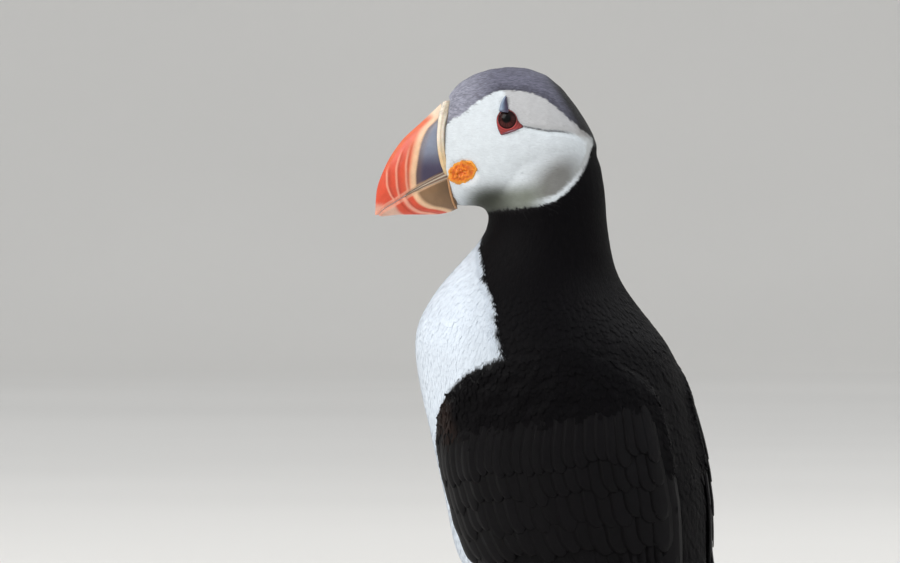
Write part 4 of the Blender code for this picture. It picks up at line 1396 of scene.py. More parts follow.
def wing_row(count, first, last, tops, bottoms, widths, heights, tip, rng, skew=0.0, uneven=0.4):
    """A row of like feathers across the wing. Pairs give a value at the front and at the back."""
    row = []
    for k in range(count):
        share = k / (count - 1)
        spread = first + (last - first) * share
        top, width, layer = (pair[0] + (pair[1] - pair[0]) * share for pair in (tops, widths, heights))
        top = top + rng.uniform(-0.4, 0.4)
        bottom = bottoms(spread) if callable(bottoms) else bottoms[0] + (bottoms[1] - bottoms[0]) * share
        bottom = max(bottom + rng.uniform(-uneven, uneven), LOWEST_FEATHER)
        row.append(Quill(
            wing_line(spread, top, bottom), width,
            lambda s, layer=layer: layer - 1.5 * (1 - s) ** 1.6, tip, skew, rng.uniform(0.8, 1.15), 0.15,
        ))
    return row


def lay_wings():
    c = settings("plumage")
    for word, side in SIDES:
        rng = np.random.default_rng(c.seed + 40)
        chart = Chart((f"wing_{word}",), wing_ray(side), np.arange(26, 174, 3.0), np.arange(15, 151, 3.0))
        tips = WING_TIP_HEIGHT
        quills = wing_row(10, 0.06, 0.42, (100, 92), tips, (8, 10), (-0.7, -0.5), 0.35, rng, 0.25)
        quills += wing_row(9, 0.47, 0.82, (92, 100), tips, (11, 12), (-0.45, -0.3), 0.75, rng)
        quills += wing_row(4, 0.85, 0.95, (118, 126), tips, (12, 11), (-0.25, -0.1), 0.7, rng)
        for level in range(4):
            tops = (104 + 5 * level, 112 + 6 * level)
            bottoms = (64 + 10 * level, 72 + 11 * level)
            widths = (8.2 - level, 10.0 - 1.2 * level)
            layer = -0.2 + 0.12 * level
            quills += wing_row(
                16 + 3 * level, 0.06, 0.9, tops, bottoms, widths, (layer, layer + 0.2), 0.7, rng, uneven=2.2,
            )
        lay_quills(f"flight_feathers_{word}", chart, quills, (0.80, 1.0), c.black * 1.15)


def tail_ray(across, along):
    out = np.array([0.0, 0.69, 0.72])
    return np.array([across, 41.0, 44.0]) + TAIL_LIE * along + out * 40, -out


def lay_tail():
    c = settings("plumage")
    rng = np.random.default_rng(c.seed + 60)
    chart = Chart(("tail",), tail_ray, np.arange(-21, 22, 1.5), np.arange(0, 53, 2.0))
    quills = []
    middle = (TAIL_FEATHERS - 1) / 2
    for k in range(TAIL_FEATHERS):
        place = (k - middle) / middle
        reach = 49.8 - 2.2 * abs(place) ** 2.2
        layer = -0.5 + 0.4 * (1 - abs(place))
        quills.append(Quill(
            lambda s, place=place, reach=reach: (place * (7.0 + 6.5 * s), 6.0 + (reach - 6.0) * s), 6.5,
            lambda s, layer=layer: layer - 0.3 + 0.3 * s, 0.8, 0.0, rng.uniform(0.8, 1.15),
        ))
    quills.sort(key=lambda quill: -abs(quill.line(0)[0]))
    lay_quills("tail_feathers", chart, quills, (1.0, 1.0), c.black * 1.2, rows=10)


# ================================================================ bill

RIDGE_AT = smooth_curve([
    (-35.8, 49.9), (-27.5, 49.4), (-17.4, 46.0), (-7.9, 40.0), (-0.4, 32.1), (6.4, 24.9),
])
MOUTH_AT = smooth_curve([
    (20.0, -19.6), (23.6, -21.0), (36.2, -27.2), (42.3, -30.9), (47.0, -33.9), (48.6, -35.8),
])
UNDER_AT = smooth_curve([(18.6, -33.4), (22.0, -34.8), (27.0, -35.6), (40.0, -35.7), (47.2, -36.4)])
UPPER_WIDTH = smooth_curve([(0, 7.6), (0.3, 6.2), (0.6, 4.5), (0.85, 2.7), (1, 1.1)])
LOWER_WIDTH = smooth_curve([(0, 6.7), (0.4, 5.2), (0.75, 3.3), (1, 1.2)])
SLATE_FRONT = smooth_curve([
    (-25.7, 34.2), (-20.8, 34.3), (-15.1, 33.6), (-9.4, 32.5), (-3.8, 30.2), (1.1, 25.6),
])
# The three raised lines in the red, each with the height where it fades out above.
RIDGE_LINES = tuple((smooth_curve(points), top) for points, top in (
    ([(-28.5, 36.9), (-27.5, 37.2), (-22.4, 38.0), (-17.4, 38.1), (-12.0, 37.2), (-6.0, 34.8)], -11.0),
    ([(-30.0, 40.2), (-29.5, 40.4), (-24.1, 41.6), (-19.1, 41.8), (-14.0, 40.6), (-8.0, 38.0)], -13.0),
    ([(-31.2, 42.2), (-30.4, 42.5), (-28.3, 43.9), (-24.1, 45.3), (-19.9, 45.4), (-14.0, 43.5)], -19.0),
))
# How far the lower mandible's bands have swept back, by depth below the mouth.
LOWER_SWEEP = smooth_curve([(0, 0), (5, 2.4), (9.3, 6.3), (11.3, 9.4), (14, 13.5)])


def upper_bands(forward, up):
    """Height of the relief and the colour of the upper mandible at each place on its side."""
    c = settings("bill")
    past = forward - SLATE_FRONT(up)
    # The slate plate lightens from the mouth up to its top: partly its own colour, partly painted highlight.
    slate = mix(c.slate_low, c.slate_and_highlight_above, ramp(up, -19.0, -9.0))
    slate = mix(slate, c.lower_grey * 1.2, 0.35 * ramp(past, -3.0, -0.4))
    red = mix(c.red, c.orange, 0.75 * ramp(past, 6.0, 2.4))
    relief = -0.16 * ramp(past, 0.15, -0.9) + 0.10 * np.exp(-((past - 0.5) / 0.5) ** 2)
    for line, top in RIDGE_LINES:
        away = forward - line(up)
        fade = ramp(up, top + 3.5, top - 3.0)
        # Painted shade: darker red along each groove behind a raised line.
        red = mix(red, c.red * 0.72, 0.75 * np.exp(-((away + 1.05) / 0.55) ** 2) * fade)
        red = mix(red, c.pale, 0.9 * np.exp(-(away / 0.42) ** 4) * fade)
        valley = np.exp(-((away + 0.75) / 0.42) ** 2)
        relief = relief + fade * (0.10 * np.exp(-(away / 0.5) ** 2) - c.groove * valley)
    red = mix(red, c.orange, 0.7 * ramp(RIDGE_AT(up) - forward, 2.6, 0.6) * ramp(up, -24.0, -10.0))
    red = mix(red, c.tip, 0.8 * ramp(forward, 45.6, 47.6) * ramp(up, -30.5, -33.5))
    colour = mix(slate, c.cream, ramp(past, -0.25, 0.35))
    colour = mix(colour, red, ramp(past, 1.3, 3.4))
    colour = mix(colour, mix(c.base_ridge, c.cream, 0.4), ramp(up, -0.5, 4.0))
    edge = up - MOUTH_AT(forward)
    lip = mix(c.cream * 0.9, c.pale, ramp(forward, 34.0, 40.0))
    return relief + 0.12 * np.exp(-((edge - 1.2) / 0.5) ** 2), mix(colour, lip, 0.8 * ramp(edge, 1.9, 1.2))


def lower_bands(forward, up):
    """The same for the lower mandible, whose bands sweep back under the mouth."""
    c = settings("bill")
    depth = MOUTH_AT(forward) - up
    place = forward + LOWER_SWEEP(depth)
    colour = mix(c.lower_grey * 0.7, c.lower_grey * 1.15, ramp(place, 24.0, 33.0))
    colour = mix(colour, c.cream, ramp(place, 33.6, 35.2))
    colour = mix(colour, c.red, ramp(place, 35.8, 36.7))
    colour = mix(colour, c.pale, np.exp(-((place - 39.1) / 0.75) ** 4))
    colour = mix(colour, c.tip, ramp(place, 42.2, 43.6))
    relief = 0.10 * np.exp(-((place - 35.3) / 0.5) ** 2) - 0.1 * ramp(place, 34.6, 33.6)
    for valley in (38.2, 40.5):
        relief = relief - c.groove * np.exp(-((place - valley) / 0.42) ** 2)
        # Painted shade: darker red in each groove.
        colour = mix(colour, c.red * 0.72, 0.6 * np.exp(-((place - valley) / 0.4) ** 2))
    lip = mix(c.cream * 0.8, c.pale, ramp(forward, 34.0, 40.0))
    return relief, mix(colour, lip, 0.75 * ramp(depth, 2.0, 1.3))


BILL_TIP = 48.6
UPPER_BASE, LOWER_BASE = 23.6, 20.6
GAPE_HEIGHT, GAPE_CLOSES = 2.4, 0.65   # the mouth's opening at its corner, and the share where it closes


def mandible(name, base, ridge, width, opens, bands, node):
    """One mandible between its cutting edge and its ridge, with its bands raised and cut."""
    shares = np.sin(np.linspace(0, math.pi / 2, 46)) ** 1.15
    edge = ramp(shares, -0.02, 0.05)
    points = []
    for turn in np.linspace(0, 1, 120):
        forward = base + (BILL_TIP - base) * turn
        gap = 0.1 + GAPE_HEIGHT / 2 * max(0.0, 1 - turn / GAPE_CLOSES)
        low = np.array([forward, MOUTH_AT(forward) + opens * gap])
        span = np.array(ridge(turn)) - low
        line = low + span * shares[:, None]
        flank = width(turn) * np.clip(1 - shares ** 2.6, 0, 1) ** 0.62
        flank = flank * (0.9 + 0.1 * np.minimum(1, shares / 0.3))
        relief = bands(*line.T)[0]
        flank = np.maximum(flank * (0.72 + 0.28 * edge) + relief * np.minimum(1, flank / 1.2), 0.0)
        left = np.stack([line[:, 0], flank, line[:, 1]], 1)
        inner = low + span * 0.10
        points += [*left, *(left[:-1] * (1, -1, 1))[::-1], np.array([inner[0], 0.0, inner[1]])]
    points, faces = closed_tube(points, 2 * len(shares))
    tones = bands(points[:, 0], points[:, 2])[1]
    horn = painted_material("bill_horn", 0.4, 0.15, 0.35, 0.02, 0.32, 0.06)
    solid_piece(name, from_head(points), faces, tones, horn, "bill_horn", [node])


def build_bill():
    def ridge(turn):
        up = 7.3 + (-35.8 - 7.3) * turn
        return RIDGE_AT(up), up

    def under(turn):
        forward = 18.6 + (47.2 - 18.6) * turn
        return forward, UNDER_AT(forward)

    mandible("bill_upper_horn", UPPER_BASE, ridge, UPPER_WIDTH, 1, upper_bands, "bill_upper")
    mandible("bill_lower_horn", LOWER_BASE, under, LOWER_WIDTH, -1, lower_bands, "bill_lower")
    build_base_ridge()
    build_mouth_skin()


BASE_RIDGE_SECTION = (
    (1.3, -2.2), (1.35, -1.1), (1.2, -0.5), (0.85, -0.08), (0.35, 0.2), (-0.3, 0.28), (-0.9, 0.2),
    (-1.4, 0.02), (-1.85, -0.25), (-2.2, -0.8), (-2.2, -2.0),
)
BASE_HALF_HEIGHT, BASE_MIDDLE = 14.3, -6.9


def closed_section(corners, count):
    """Evenly spaced points round a closed outline with soft corners."""
    corners = np.array(corners)
    loop = np.concatenate([corners, corners[:1]])
    t = np.concatenate([[0], np.cumsum(np.linalg.norm(np.diff(loop, axis=0), axis=1))])
    places = np.linspace(0, t[-1], count, endpoint=False)
    return np.stack([np.interp(places, t, loop[:, k]) for k in range(2)], 1)


def base_ridge_outline(count):
    """Evenly spaced (side, up) places round the upper mandible's base, each in -1 to 1, squarer below."""
    turn = np.linspace(0, 2 * math.pi, 3000, endpoint=False)
    power = np.where(np.sin(turn) > 0, 2 / 2.2, 2 / 5.0)
    outline = np.stack([np.sign(f) * np.abs(f) ** power for f in (np.cos(turn), np.sin(turn))], 1)
    return closed_section(outline * (8.0, BASE_HALF_HEIGHT), count) / (8.0, BASE_HALF_HEIGHT)


def base_ridge_tone(x, up, pit, c):
    """Cream at the front, a tan furrow, cream again, and a dark dotted edge against the feathers."""
    tone = mix(c.base_ridge, c.base_low, 0.85 * ramp(up, -6.0, -15.0))
    tone = mix(tone, c.base_rear, 0.6 * math.exp(-((x + 0.3) / 0.3) ** 2))
    tone = mix(tone, c.base_rear * 0.8, 0.7 * ramp(up, 0.5, 4.0) * ramp(x, 0.6, -1.6))
    # Painted shade: darker in each pit.
    tone = tone * (1 + 4.0 * min(0.0, pit + 0.015))
    return mix(tone, c.lower_grey * 0.45, 0.75 * ramp(x, -1.35, -1.75))


def build_base_ridge():
    """The pale pitted skin that stands up round the base of the upper mandible."""
    steps, around = 240, 34
    section = closed_section(BASE_RIDGE_SECTION, around)
    c = settings("bill")
    rng = np.random.default_rng(5)
    points, tones = [], []
    for side, share in base_ridge_outline(steps):
        up = BASE_MIDDLE + BASE_HALF_HEIGHT * share
        narrowing, slope = (1.2, 0.6) if share > 0 else (0.9, 0.15)
        here = np.array([25.3 - 0.0133 * (up + 6.5) ** 2, (8.6 - narrowing * abs(share)) * side, up])
        outward = unit(np.array([0.0, here[1], (up - BASE_MIDDLE) * slope]))
        high, wide = 1 - 0.35 * ramp(up, 3.0, 6.0), 0.9 + 0.3 * ramp(up, -3.0, 4.0)
        pitted = 0.6 + 1.2 * ramp(up, 0.0, 4.0)
        for x, y in section:
            top = y > -0.6
            pit = rng.uniform(-0.055, 0.02) * pitted * top
            points.append(here + np.array([x * wide, 0, 0]) + outward * (y * high + pit - 0.1))
            # Painted shade: the steep walls and underside of the ridge, below the top of its section, are
            # darker.
            tones.append(base_ridge_tone(x, up, pit, c) * (1.0 if top else 0.6))
    waxy = painted_material("waxy_base_skin", 0.5, 0.1, 0.3, 0.05, 0.4, 0.15)
    faces = ring_faces(steps, around, closed=True)
    name = "bill_base_skin"
    solid_piece(name, from_head(points), faces, tones, waxy, name, ["bill_base_ridge"])


def side_point(forward, up, side, height):
    """A place on the side of the head, this high over its solid, in the row frame."""
    tree = solid_tree(("head",))
    outward = side * HEAD_LEFT
    hit = tree.ray_cast(from_head([forward, side * 40.0, up]).tolist(), (-outward).tolist())[0]
    if hit is None:
        raise RuntimeError(f"nothing of the head at {forward}, {up}")
    slope = np.array(tree.find_nearest(hit + Vector(outward) * 2.5)[1])
    return np.array(hit) + unit(slope + outward) * height


def dome(centre, reach, height, side):
    """A low closed patch on the side of the head, about a centre (forward, up).

    reach(angle) is its outline, and height(share, angle) its rise over the solid from the centre
    (share 0) to the edge (share 1). Returns its points, its faces and each point's (share, angle).
    """
    rings, around, sink = 26, 72, 0.9
    points, places = [], []
    for r in range(rings + 2):
        share = min(r / rings, 1.0)
        for angle in angles_round(around):
            far = reach(angle) * max(share, 0.01)
            forward, up = centre[0] + far * math.cos(angle), centre[1] + far * math.sin(angle)
            points.append(side_point(forward, up, side, height(share, angle) if r <= rings else -sink))
            places.append((share, angle))
    return *closed_tube(points, around), np.array(places + [(0.0, 0.0), (1.0, 0.0)])


def build_gapes():
    """The thick wrinkled skin at each corner of the mouth."""
    c = settings("bill")
    finish = painted_material("fleshy_gape_skin", 0.42, 0.2, 0.3, 0.06, 0.45, 0.2)
    turn = math.radians(-24)

    def reach(angle):
        x, y = math.cos(angle - turn) / 5.6, math.sin(angle - turn) / 4.1
        return (1 / math.hypot(x, y)) * (1 + 0.035 * math.sin(9 * angle) + 0.02 * math.sin(17 * angle + 1))

    def folds(share, angle):
        swirl = 0.16 * math.sin(3 * angle + 1) + 0.10 * math.sin(5 * angle)
        rings = math.cos(2 * math.pi * (2.2 * share + swirl))
        spokes = 0.5 * math.sin(11 * angle + 4 * math.sin(4 * share) + 2 * math.sin(angle))
        return 0.75 * rings + spokes * min(1.0, share * 2.5)

    def height(share, angle):
        crown = 1.6 * max(0.0, 1 - share ** 3.0) ** 0.8
        slit = math.exp(-(share * math.sin(angle - turn) / 0.09) ** 2) * math.exp(-(share / 0.55) ** 2)
        return crown * (0.82 + 0.14 * folds(share, angle)) - 0.45 * slit

    for word, side in SIDES:
        points, faces, places = dome(GAPE_PLACE, reach, height, side)
        share, angle = places.T
        depth = np.array([folds(*place) for place in places])
        # Painted shade: darker in the bottoms of the folds and along the slit of the mouth.
        deep = np.clip(0.5 - 0.55 * depth, 0, 1) * ramp(share, 1.02, 0.7)
        slit = np.exp(-(share * np.sin(angle - turn) / 0.12) ** 2)
        deep = np.maximum(deep * 0.7, slit * np.exp(-(share / 0.5) ** 2))
        tone = mix(mix(c.gape, c.gape_fold_shade, deep * 0.75), c.gape_rim, 0.5 * ramp(share, 0.8, 0.98))
        solid_piece(f"gape_{word}_skin", points, faces, tone, finish, "gape_skin", ["gape_" + word])


def build_mouth_skin():
    """The folded skin in the corner of the mouth, and the thin pale rim of the lower mandible's base."""
    c = settings("bill")
    finish = painted_material("soft_mouth_skin", 0.45, 0.1, 0.4, 0.05)
    across = np.linspace(0, 1, 17)
    ridges = 0.5 + 0.5 * np.cos(4 * math.pi * across)
    tone = mix(c.mouth, c.base_ridge * 0.85, ridges ** 2)
    points, tones = [], []
    for forward in np.linspace(19.8, 38.2, 40):
        edges = []
        for base, width, opens in ((UPPER_BASE, UPPER_WIDTH, 1), (LOWER_BASE, LOWER_WIDTH, -1)):
            share = max((forward - base) / (BILL_TIP - base), 0.0)
            gap = 0.35 + GAPE_HEIGHT / 2 * max(0.0, 1 - share / GAPE_CLOSES)
            edges.append((MOUTH_AT(forward) + opens * gap, width(share)))
        (high, upper), (low, lower) = edges
        half = np.interp(across, [0, 1], [upper, lower]) * 0.84 - 0.35 + 0.3 * ridges
        left = np.stack([np.full(len(half), forward), half, high + (low - high) * across], 1)
        points += [*left, *(left * (1, -1, 1))[::-1]]
        tones += [*tone, *tone[::-1]]
    points, faces = closed_tube(points, 2 * len(across))
    tones += [c.mouth] * 2
    solid_piece("mouth_skin", from_head(points), faces, tones, finish, "bill_base_skin")
    line = smooth_curve([(-33.6, 19.2), (-30.0, 20.6), (-26.0, 21.6), (-21.6, 22.3)])
    for word, side in SIDES:
        points = [
            (line(up) + 0.42 * math.cos(a), side * (lower_half_width(up) + 0.3 * math.sin(a)), up)
            for up in np.linspace(-33.4, -21.8, 24) for a in np.linspace(0, 2 * math.pi, 10, endpoint=False)
        ]
        points, faces = closed_tube(from_head(points), 10)
        solid_piece("lower_bill_rim_" + word, points, faces, c.lower_rim, finish, "bill_base_skin")


def lower_half_width(up):
    """Half the lower mandible's width near its base, at each height."""
    low, high = -34.6, -20.8
    share = min(max((high - up) / (high - low), 0.0), 0.97)
    return 6.75 * (1 - share ** 2.6) ** 0.62 + 0.15


# ================================================================ eyes

EYE_LOOKS = (0.218, 0.951, 0.218)   # the eye's axis: forward, outward and up


def build_eyes():
    c = settings("eyes")
    finish = painted_material("wet_eye", 0.1, 0.1, 0.6, 0.0, 0.06)
    rings, around = 60, 48
    for word, side in SIDES:
        low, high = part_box("eye_" + word)
        centre, radius = EYE[word], (high - low).x / 2 / MM * 0.995
        out = unit(EYE_LOOKS * np.array([1, side, 1]) @ HEAD_AXES)
        across = unit(np.cross(HEAD_UP, out))
        rise = np.cross(out, across)
        points, tones = [], []
        for r in range(1, rings):
            polar = math.pi * (r / rings) ** 1.4
            for angle in angles_round(around):
                spoke = across * math.cos(angle) + rise * math.sin(angle)
                points.append(centre + radius * (out * math.cos(polar) + spoke * math.sin(polar)))
                tones.append(eye_tone(radius * math.sin(polar), polar, angle, c))
        front = len(points)
        faces = ring_faces(rings - 1, around)
        faces += fan(0, around, front) + fan(front - around, around, front + 1)
        points += [centre + out * radius, centre - out * radius]
        tones += [eye_tone(0.0, 0.0, 0.0, c), np.zeros(3)]
        solid_piece(f"eye_{word}_ball", points, faces, tones, finish, "eye", ["eye_" + word])
        build_lids(word, side)
        build_eye_plates(word, side)


def eye_tone(off_axis, polar, angle, c):
    """Pupil, iris with fine spokes and a painted shadow of the lid across its top, and the dark limbus."""
    if polar > math.pi / 2:
        return np.array([0.02, 0.015, 0.015])
    iris = c.iris * (1 + 0.25 * math.sin(31 * angle) + 0.2 * math.sin(53 * angle + 1))
    # Painted shadow of the lid: the iris much darker at its top.
    iris = iris * (0.75 - 0.6 * math.sin(angle)) * ramp(off_axis, c.pupil - 0.2, c.pupil + 0.5)
    return iris * (1 - 0.85 * ramp(off_axis, 3.0, 3.5)) + 0.004


EYE_RADIUS, LID_INNER, LID_CREST = 4.6, 3.38, 3.6


def eye_cover(forward, up, side):
    """How far out to the side the head's cover lies at a place near the eye, over lid and eyeball alike."""
    x, y = forward - EYE_PLACE[0], up - EYE_PLACE[1]
    far = math.hypot(x, y)
    reach = max(far, 3.7) / far
    start = from_head([EYE_PLACE[0] + x * reach, side * 40.0, EYE_PLACE[1] + y * reach])
    hit = skin().tree.ray_cast(start.tolist(), (-side * HEAD_LEFT).tolist())[0]
    centre = on_head(EYE["left" if side > 0 else "right"])[0]
    off = math.hypot(forward - centre[0], up - centre[2])
    ball = abs(centre[1]) + math.sqrt(max(EYE_RADIUS ** 2 - off ** 2, 0.0))
    on_skin = side * on_head(np.array(hit))[0, 1]
    return mix(ball + 0.04, on_skin + 0.3, ramp(far, LID_INNER, 3.9))[0]


def lid_point(far, angle, side, rise):
    forward, up = EYE_PLACE[0] + far * math.cos(angle), EYE_PLACE[1] + far * math.sin(angle)
    return from_head([forward, side * (eye_cover(forward, up, side) + rise), up])


def build_lids(word, side):
    """The bare red skin round the eye, with its swollen wet rim."""
    c = settings("eyes")
    finish = painted_material("bare_eye_skin", 0.4, 0.15, 0.25, 0.04, 0.45, 0.15)
    rings, around = 22, 120
    points, tones = [], []
    for r in range(rings + 1):
        fall = ramp(r / rings, 0.8, 1.0)
        for angle in angles_round(around):
            far = LID_INNER + (lid_reach(angle) - LID_INNER) * (r / rings)
            rim = math.exp(-((far - LID_CREST) / 0.2) ** 2)
            fold = math.cos((far - LID_CREST) * 6.5 + 0.8 * math.sin(3 * angle)) * (1 - rim)
            points.append(lid_point(far, angle, side, 0.1 + 0.22 * rim + 0.05 * fold - 0.35 * fall))
            # The wet rim is lighter, a painted highlight; the folds are lighter and darker in turn with their
            # rise, painted light and shade; the outer edge darkens as it sinks under the feathers, painted
            # shade.
            tone = mix(c.ring * (0.75 + 0.5 * rim + 0.16 * fold), c.plate_rear * 0.6, 0.75 * fall)
            # Painted shade: a dark line where the skin meets the eyeball.
            tone = tone * (1 - 0.8 * math.exp(-((far - LID_INNER) / 0.1) ** 2))
            tones.append(tone * (0.9 - 0.6 * ramp(math.sin(angle - 0.35), -0.5, 0.5)))
    for angle in angles_round(around):
        points += [lid_point(far, angle, side, -1.6) for far in (lid_reach(angle), LID_INNER)]
        # Painted shade on the buried edge.
        tones += [c.ring * 0.3] * 2
    faces = ring_faces(rings + 1, around)
    base, last = around * (rings + 1), around * rings
    for k in range(around):
        n = (k + 1) % around
        outer, inner = (base + 2 * k, base + 2 * n), (base + 2 * k + 1, base + 2 * n + 1)
        faces += [(last + k, last + n, outer[1], outer[0]), (*outer, *inner[::-1]), (*inner, n, k)]
    solid_piece(f"eye_{word}_ring", points, faces, tones, finish, "eye_plate")


# The horny plates as (forward, up, half width) along each, from below to above and from front to rear.
UPPER_PLATE = (
    (1.2, 2.9, 1.5), (1.2, 3.5, 1.8), (1.15, 4.6, 1.6), (1.1, 5.9, 1.32), (0.95, 7.2, 0.98),
    (0.65, 8.4, 0.55), (0.4, 9.2, 0.1),
)
LOWER_PLATE = (
    (1.9, -5.3, 0.12), (0.6, -4.95, 0.32), (-1.2, -4.4, 0.38), (-3.0, -3.85, 0.3), (-4.4, -3.4, 0.1),
)


def build_eye_plates(word, side):
    c = settings("eyes")
    finish = painted_material("eye_plate_horn", 0.38, 0.25, 0.3, 0.03, 0.35)
    for part, line, flat in (("upper", UPPER_PLATE, False), ("lower", LOWER_PLATE, True)):
        base, swell, reddened = (0.2, 0.3, 0.6) if flat else (0.3, 0.6, 0.0)
        fine, coarse = np.linspace(0, 1, 22), np.linspace(0, 1, len(line))
        rows = [smooth_curve(list(zip(coarse, values)))(fine) for values in zip(*line)]
        points, tones = [], []
        for i, (forward, up, half) in enumerate(zip(*rows)):
            for angle in np.linspace(0, 2 * math.pi, 18, endpoint=False):
                shift = half * math.cos(angle)
                place = (forward, up + shift) if flat else (forward + shift, up + 0.12 * shift)
                rise = base + swell * math.sin(angle) * min(1.0, half / 0.5)
                points.append(from_head([place[0], side * (eye_cover(*place, side) + rise), place[1]]))
                # Painted highlight: each plate lighter on its front (upper plate) or its top (lower plate),
                # over its dark horn; darker at its first end.
                tone = mix(c.plate_rear, c.plate, ramp(math.cos(angle), -0.5, 0.6) * min(1.0, i / 5))
                tones.append(mix(tone, c.ring * 0.45, reddened))
        points, faces = closed_tube(points, 18)
        tones += [c.plate_rear] * 2
        solid_piece(f"eye_{word}_{part}_horn", points, faces, tones, finish, "eye_plate",
                    [f"eye_plate_{part}_{word}"])


# ================================================================ legs and feet

TOES = {"inner": -27.0, "middle": 0.0, "outer": 25.0}   # degrees outward from the middle toe
ANKLE = (23.0, 6.0)
SCALE_WIDTH = 0.95


def build_legs():
    c = settings("legs")
    leather = scaly_skin_material()
    claw_horn = painted_material("claw_horn", 0.35, 0.3, 0.3, 0.03)
    for word, side in SIDES:
        root = np.array([side * ANKLE[0], ANKLE[1], 0.0])
        surface = smoothed(remeshed([("shank_" + word, 0.0), ("foot_" + word, 0.2)], 0.42), 6)
        x, y, z = (surface.points - root).T
        ankle = ramp(np.hypot(x, y), 10.0, 6.0) * ramp(z, 1.2, 3.2) * ramp(z, 17.0, 11.0)
        surface = rounded(surface, 70, 0.25, ankle)
        surface.points[:, 2] = np.maximum(surface.points[:, 2], 0.0)
        made = new_mesh_object(f"leg_{word}_skin", surface.points, surface.faces)
        store(made.data, "tone", leg_tone(surface.points - root, side, c))
        finish_piece(made, leather, ["shank_" + word, "foot_" + word])
        for toe in TOES:
            node = f"claw_{toe}_{word}"
            claw = smoothed(remeshed([(node, 0.0)], 0.22), 4)
            build_toe_end(f"toe_end_{toe}_{word}", claw.points, root, leather, c)
            piece = new_mesh_object(node + "_horn", claw.points, claw.faces)
            store(piece.data, "tone", np.broadcast_to(c.claw, claw.points.shape))
            finish_piece(piece, claw_horn, [node])


def build_toe_end(name, claw, root, leather, c):
    """The swollen end of a toe, from which its claw grows."""
    reach = np.linalg.norm((claw - root)[:, :2], axis=1)
    base = claw[reach < np.quantile(reach, 0.08)].mean(axis=0)
    out = unit((base - root) * (1, 1, 0))
    across = np.array([-out[1], out[0], 0.0])
    points = []
    for share in np.linspace(0, 1, 14):
        centre = base + out * (0.9 - 6.8 * share)
        centre[2] = base[2] - 0.15 + (1.15 - base[2]) * ramp(share, 0.05, 0.95)
        radius = 1.15 + 0.35 * math.sin(math.pi * share) - 0.5 * ramp(share, 0.5, 1.0)
        for a in np.linspace(0, 2 * math.pi, 20, endpoint=False):
            point = centre + radius * (across * math.cos(a) + HEAD_UP * math.sin(a))
            points.append(np.maximum(point, (-np.inf, -np.inf, 0.05)))
    solid_piece(name, *closed_tube(points, 20), c.skin * 0.9, leather, "leg_skin")


def leg_tone(places, side, c):
    """Orange webs between redder toes, darker at the joints. places are from the ankle's foot."""
    x, y, z = places.T
    angle = np.degrees(np.arctan2(side * x, -y)) - 10.0
    far = np.hypot(x, y)
    off = np.min([np.abs(np.radians(angle - toe)) * far for toe in TOES.values()], axis=0)
    web = ramp(off, 1.6, 3.0) * ramp(z, 5.0, 3.0)
    joints = 0.5 + 0.5 * np.sin(far * 0.62)
    return mix(c.skin, c.web, web) * (0.78 + 0.22 * np.maximum(joints, web))[:, None]


# ================================================================ studio

VIEW_AZIMUTH, VIEW_ELEVATION = 115.0, 0.5
VIEW_DISTANCE_M, VIEW_LENS, SENSOR = 3.0, 318.0, 36.0
EYE_RIGHT_OF_MIDDLE, EYE_ABOVE_MIDDLE = 21.5, 60.9   # where the eye stands in the view


def toward(azimuth, elevation):
    """The direction in which a viewer at this place stands."""
    a, e = math.radians(azimuth), math.radians(elevation)
    return np.array([math.sin(a) * math.cos(e), -math.cos(a) * math.cos(e), math.sin(e)])


def build_camera():
    back = toward(VIEW_AZIMUTH, VIEW_ELEVATION)
    right = toward(VIEW_AZIMUTH + 90.0, 0.0)
    up = np.cross(back, right)
    eye = from_head([0.0, 10.0, 0.0])
    target = (eye - right * EYE_RIGHT_OF_MIDDLE - up * EYE_ABOVE_MIDDLE) * MM
    data = bpy.data.cameras.new("camera")
    data.lens, data.sensor_width = VIEW_LENS, SENSOR
    data.clip_start, data.clip_end = 0.1, 100.0
    rotation = Matrix(np.stack([right, up, back], 1).tolist())
    camera = linked("camera", data)
    camera.matrix_world = Matrix.Translation(target + back * VIEW_DISTANCE_M) @ rotation.to_4x4()
    bpy.context.scene.camera = camera


def build_floor():
    """A wide pale floor that curves up into a wall all round, open above. Its lengths are in metres."""
    flat, rise, bend, around = 7.0, 5.0, 2.0, 96
    profile = [(flat, 0.0)]
    for k in range(1, 13):
        angle = math.pi / 2 * k / 12
        profile.append((flat + bend * math.sin(angle), bend - bend * math.cos(angle)))
    profile.append((flat + bend, rise))
    points = [
        (radius * math.cos(a), radius * math.sin(a), height)
        for radius, height in profile for a in angles_round(around)
    ]
    faces = fan(0, around, len(points)) + [face[::-1] for face in ring_faces(len(profile), around)]
    floor = new_mesh_object("floor", np.array(points + [(0.0, 0.0, 0.0)]) / MM, faces)
    paint, add = new_material("matt_studio_paint")
    tint = (*bpy.context.scene.puffin_studio.floor,)
    colour = coloured(add, (patches(add, 900.0), 0.3, 0.7, 0.98, 1.02), colour=tint)
    finished(paint, add, colour, None, 0, 0, {"Roughness": 0.9, "Specular IOR Level": 0.1})
    floor.data.materials.append(paint)


def area_light(name, azimuth, elevation, distance, size, power, tint):
    """A square soft light that looks at the bird's breast."""
    back = Vector(toward(azimuth, elevation))
    light = bpy.data.lights.new(name, "AREA")
    light.shape = "SQUARE"
    light.size = size
    light.energy = power
    light.color = tint
    made = linked(name, light)
    made.location = Vector((0, 0, 0.15)) + back * distance
    made.rotation_mode = "QUATERNION"
    made.rotation_quaternion = (-back).to_track_quat("-Z", "Y")


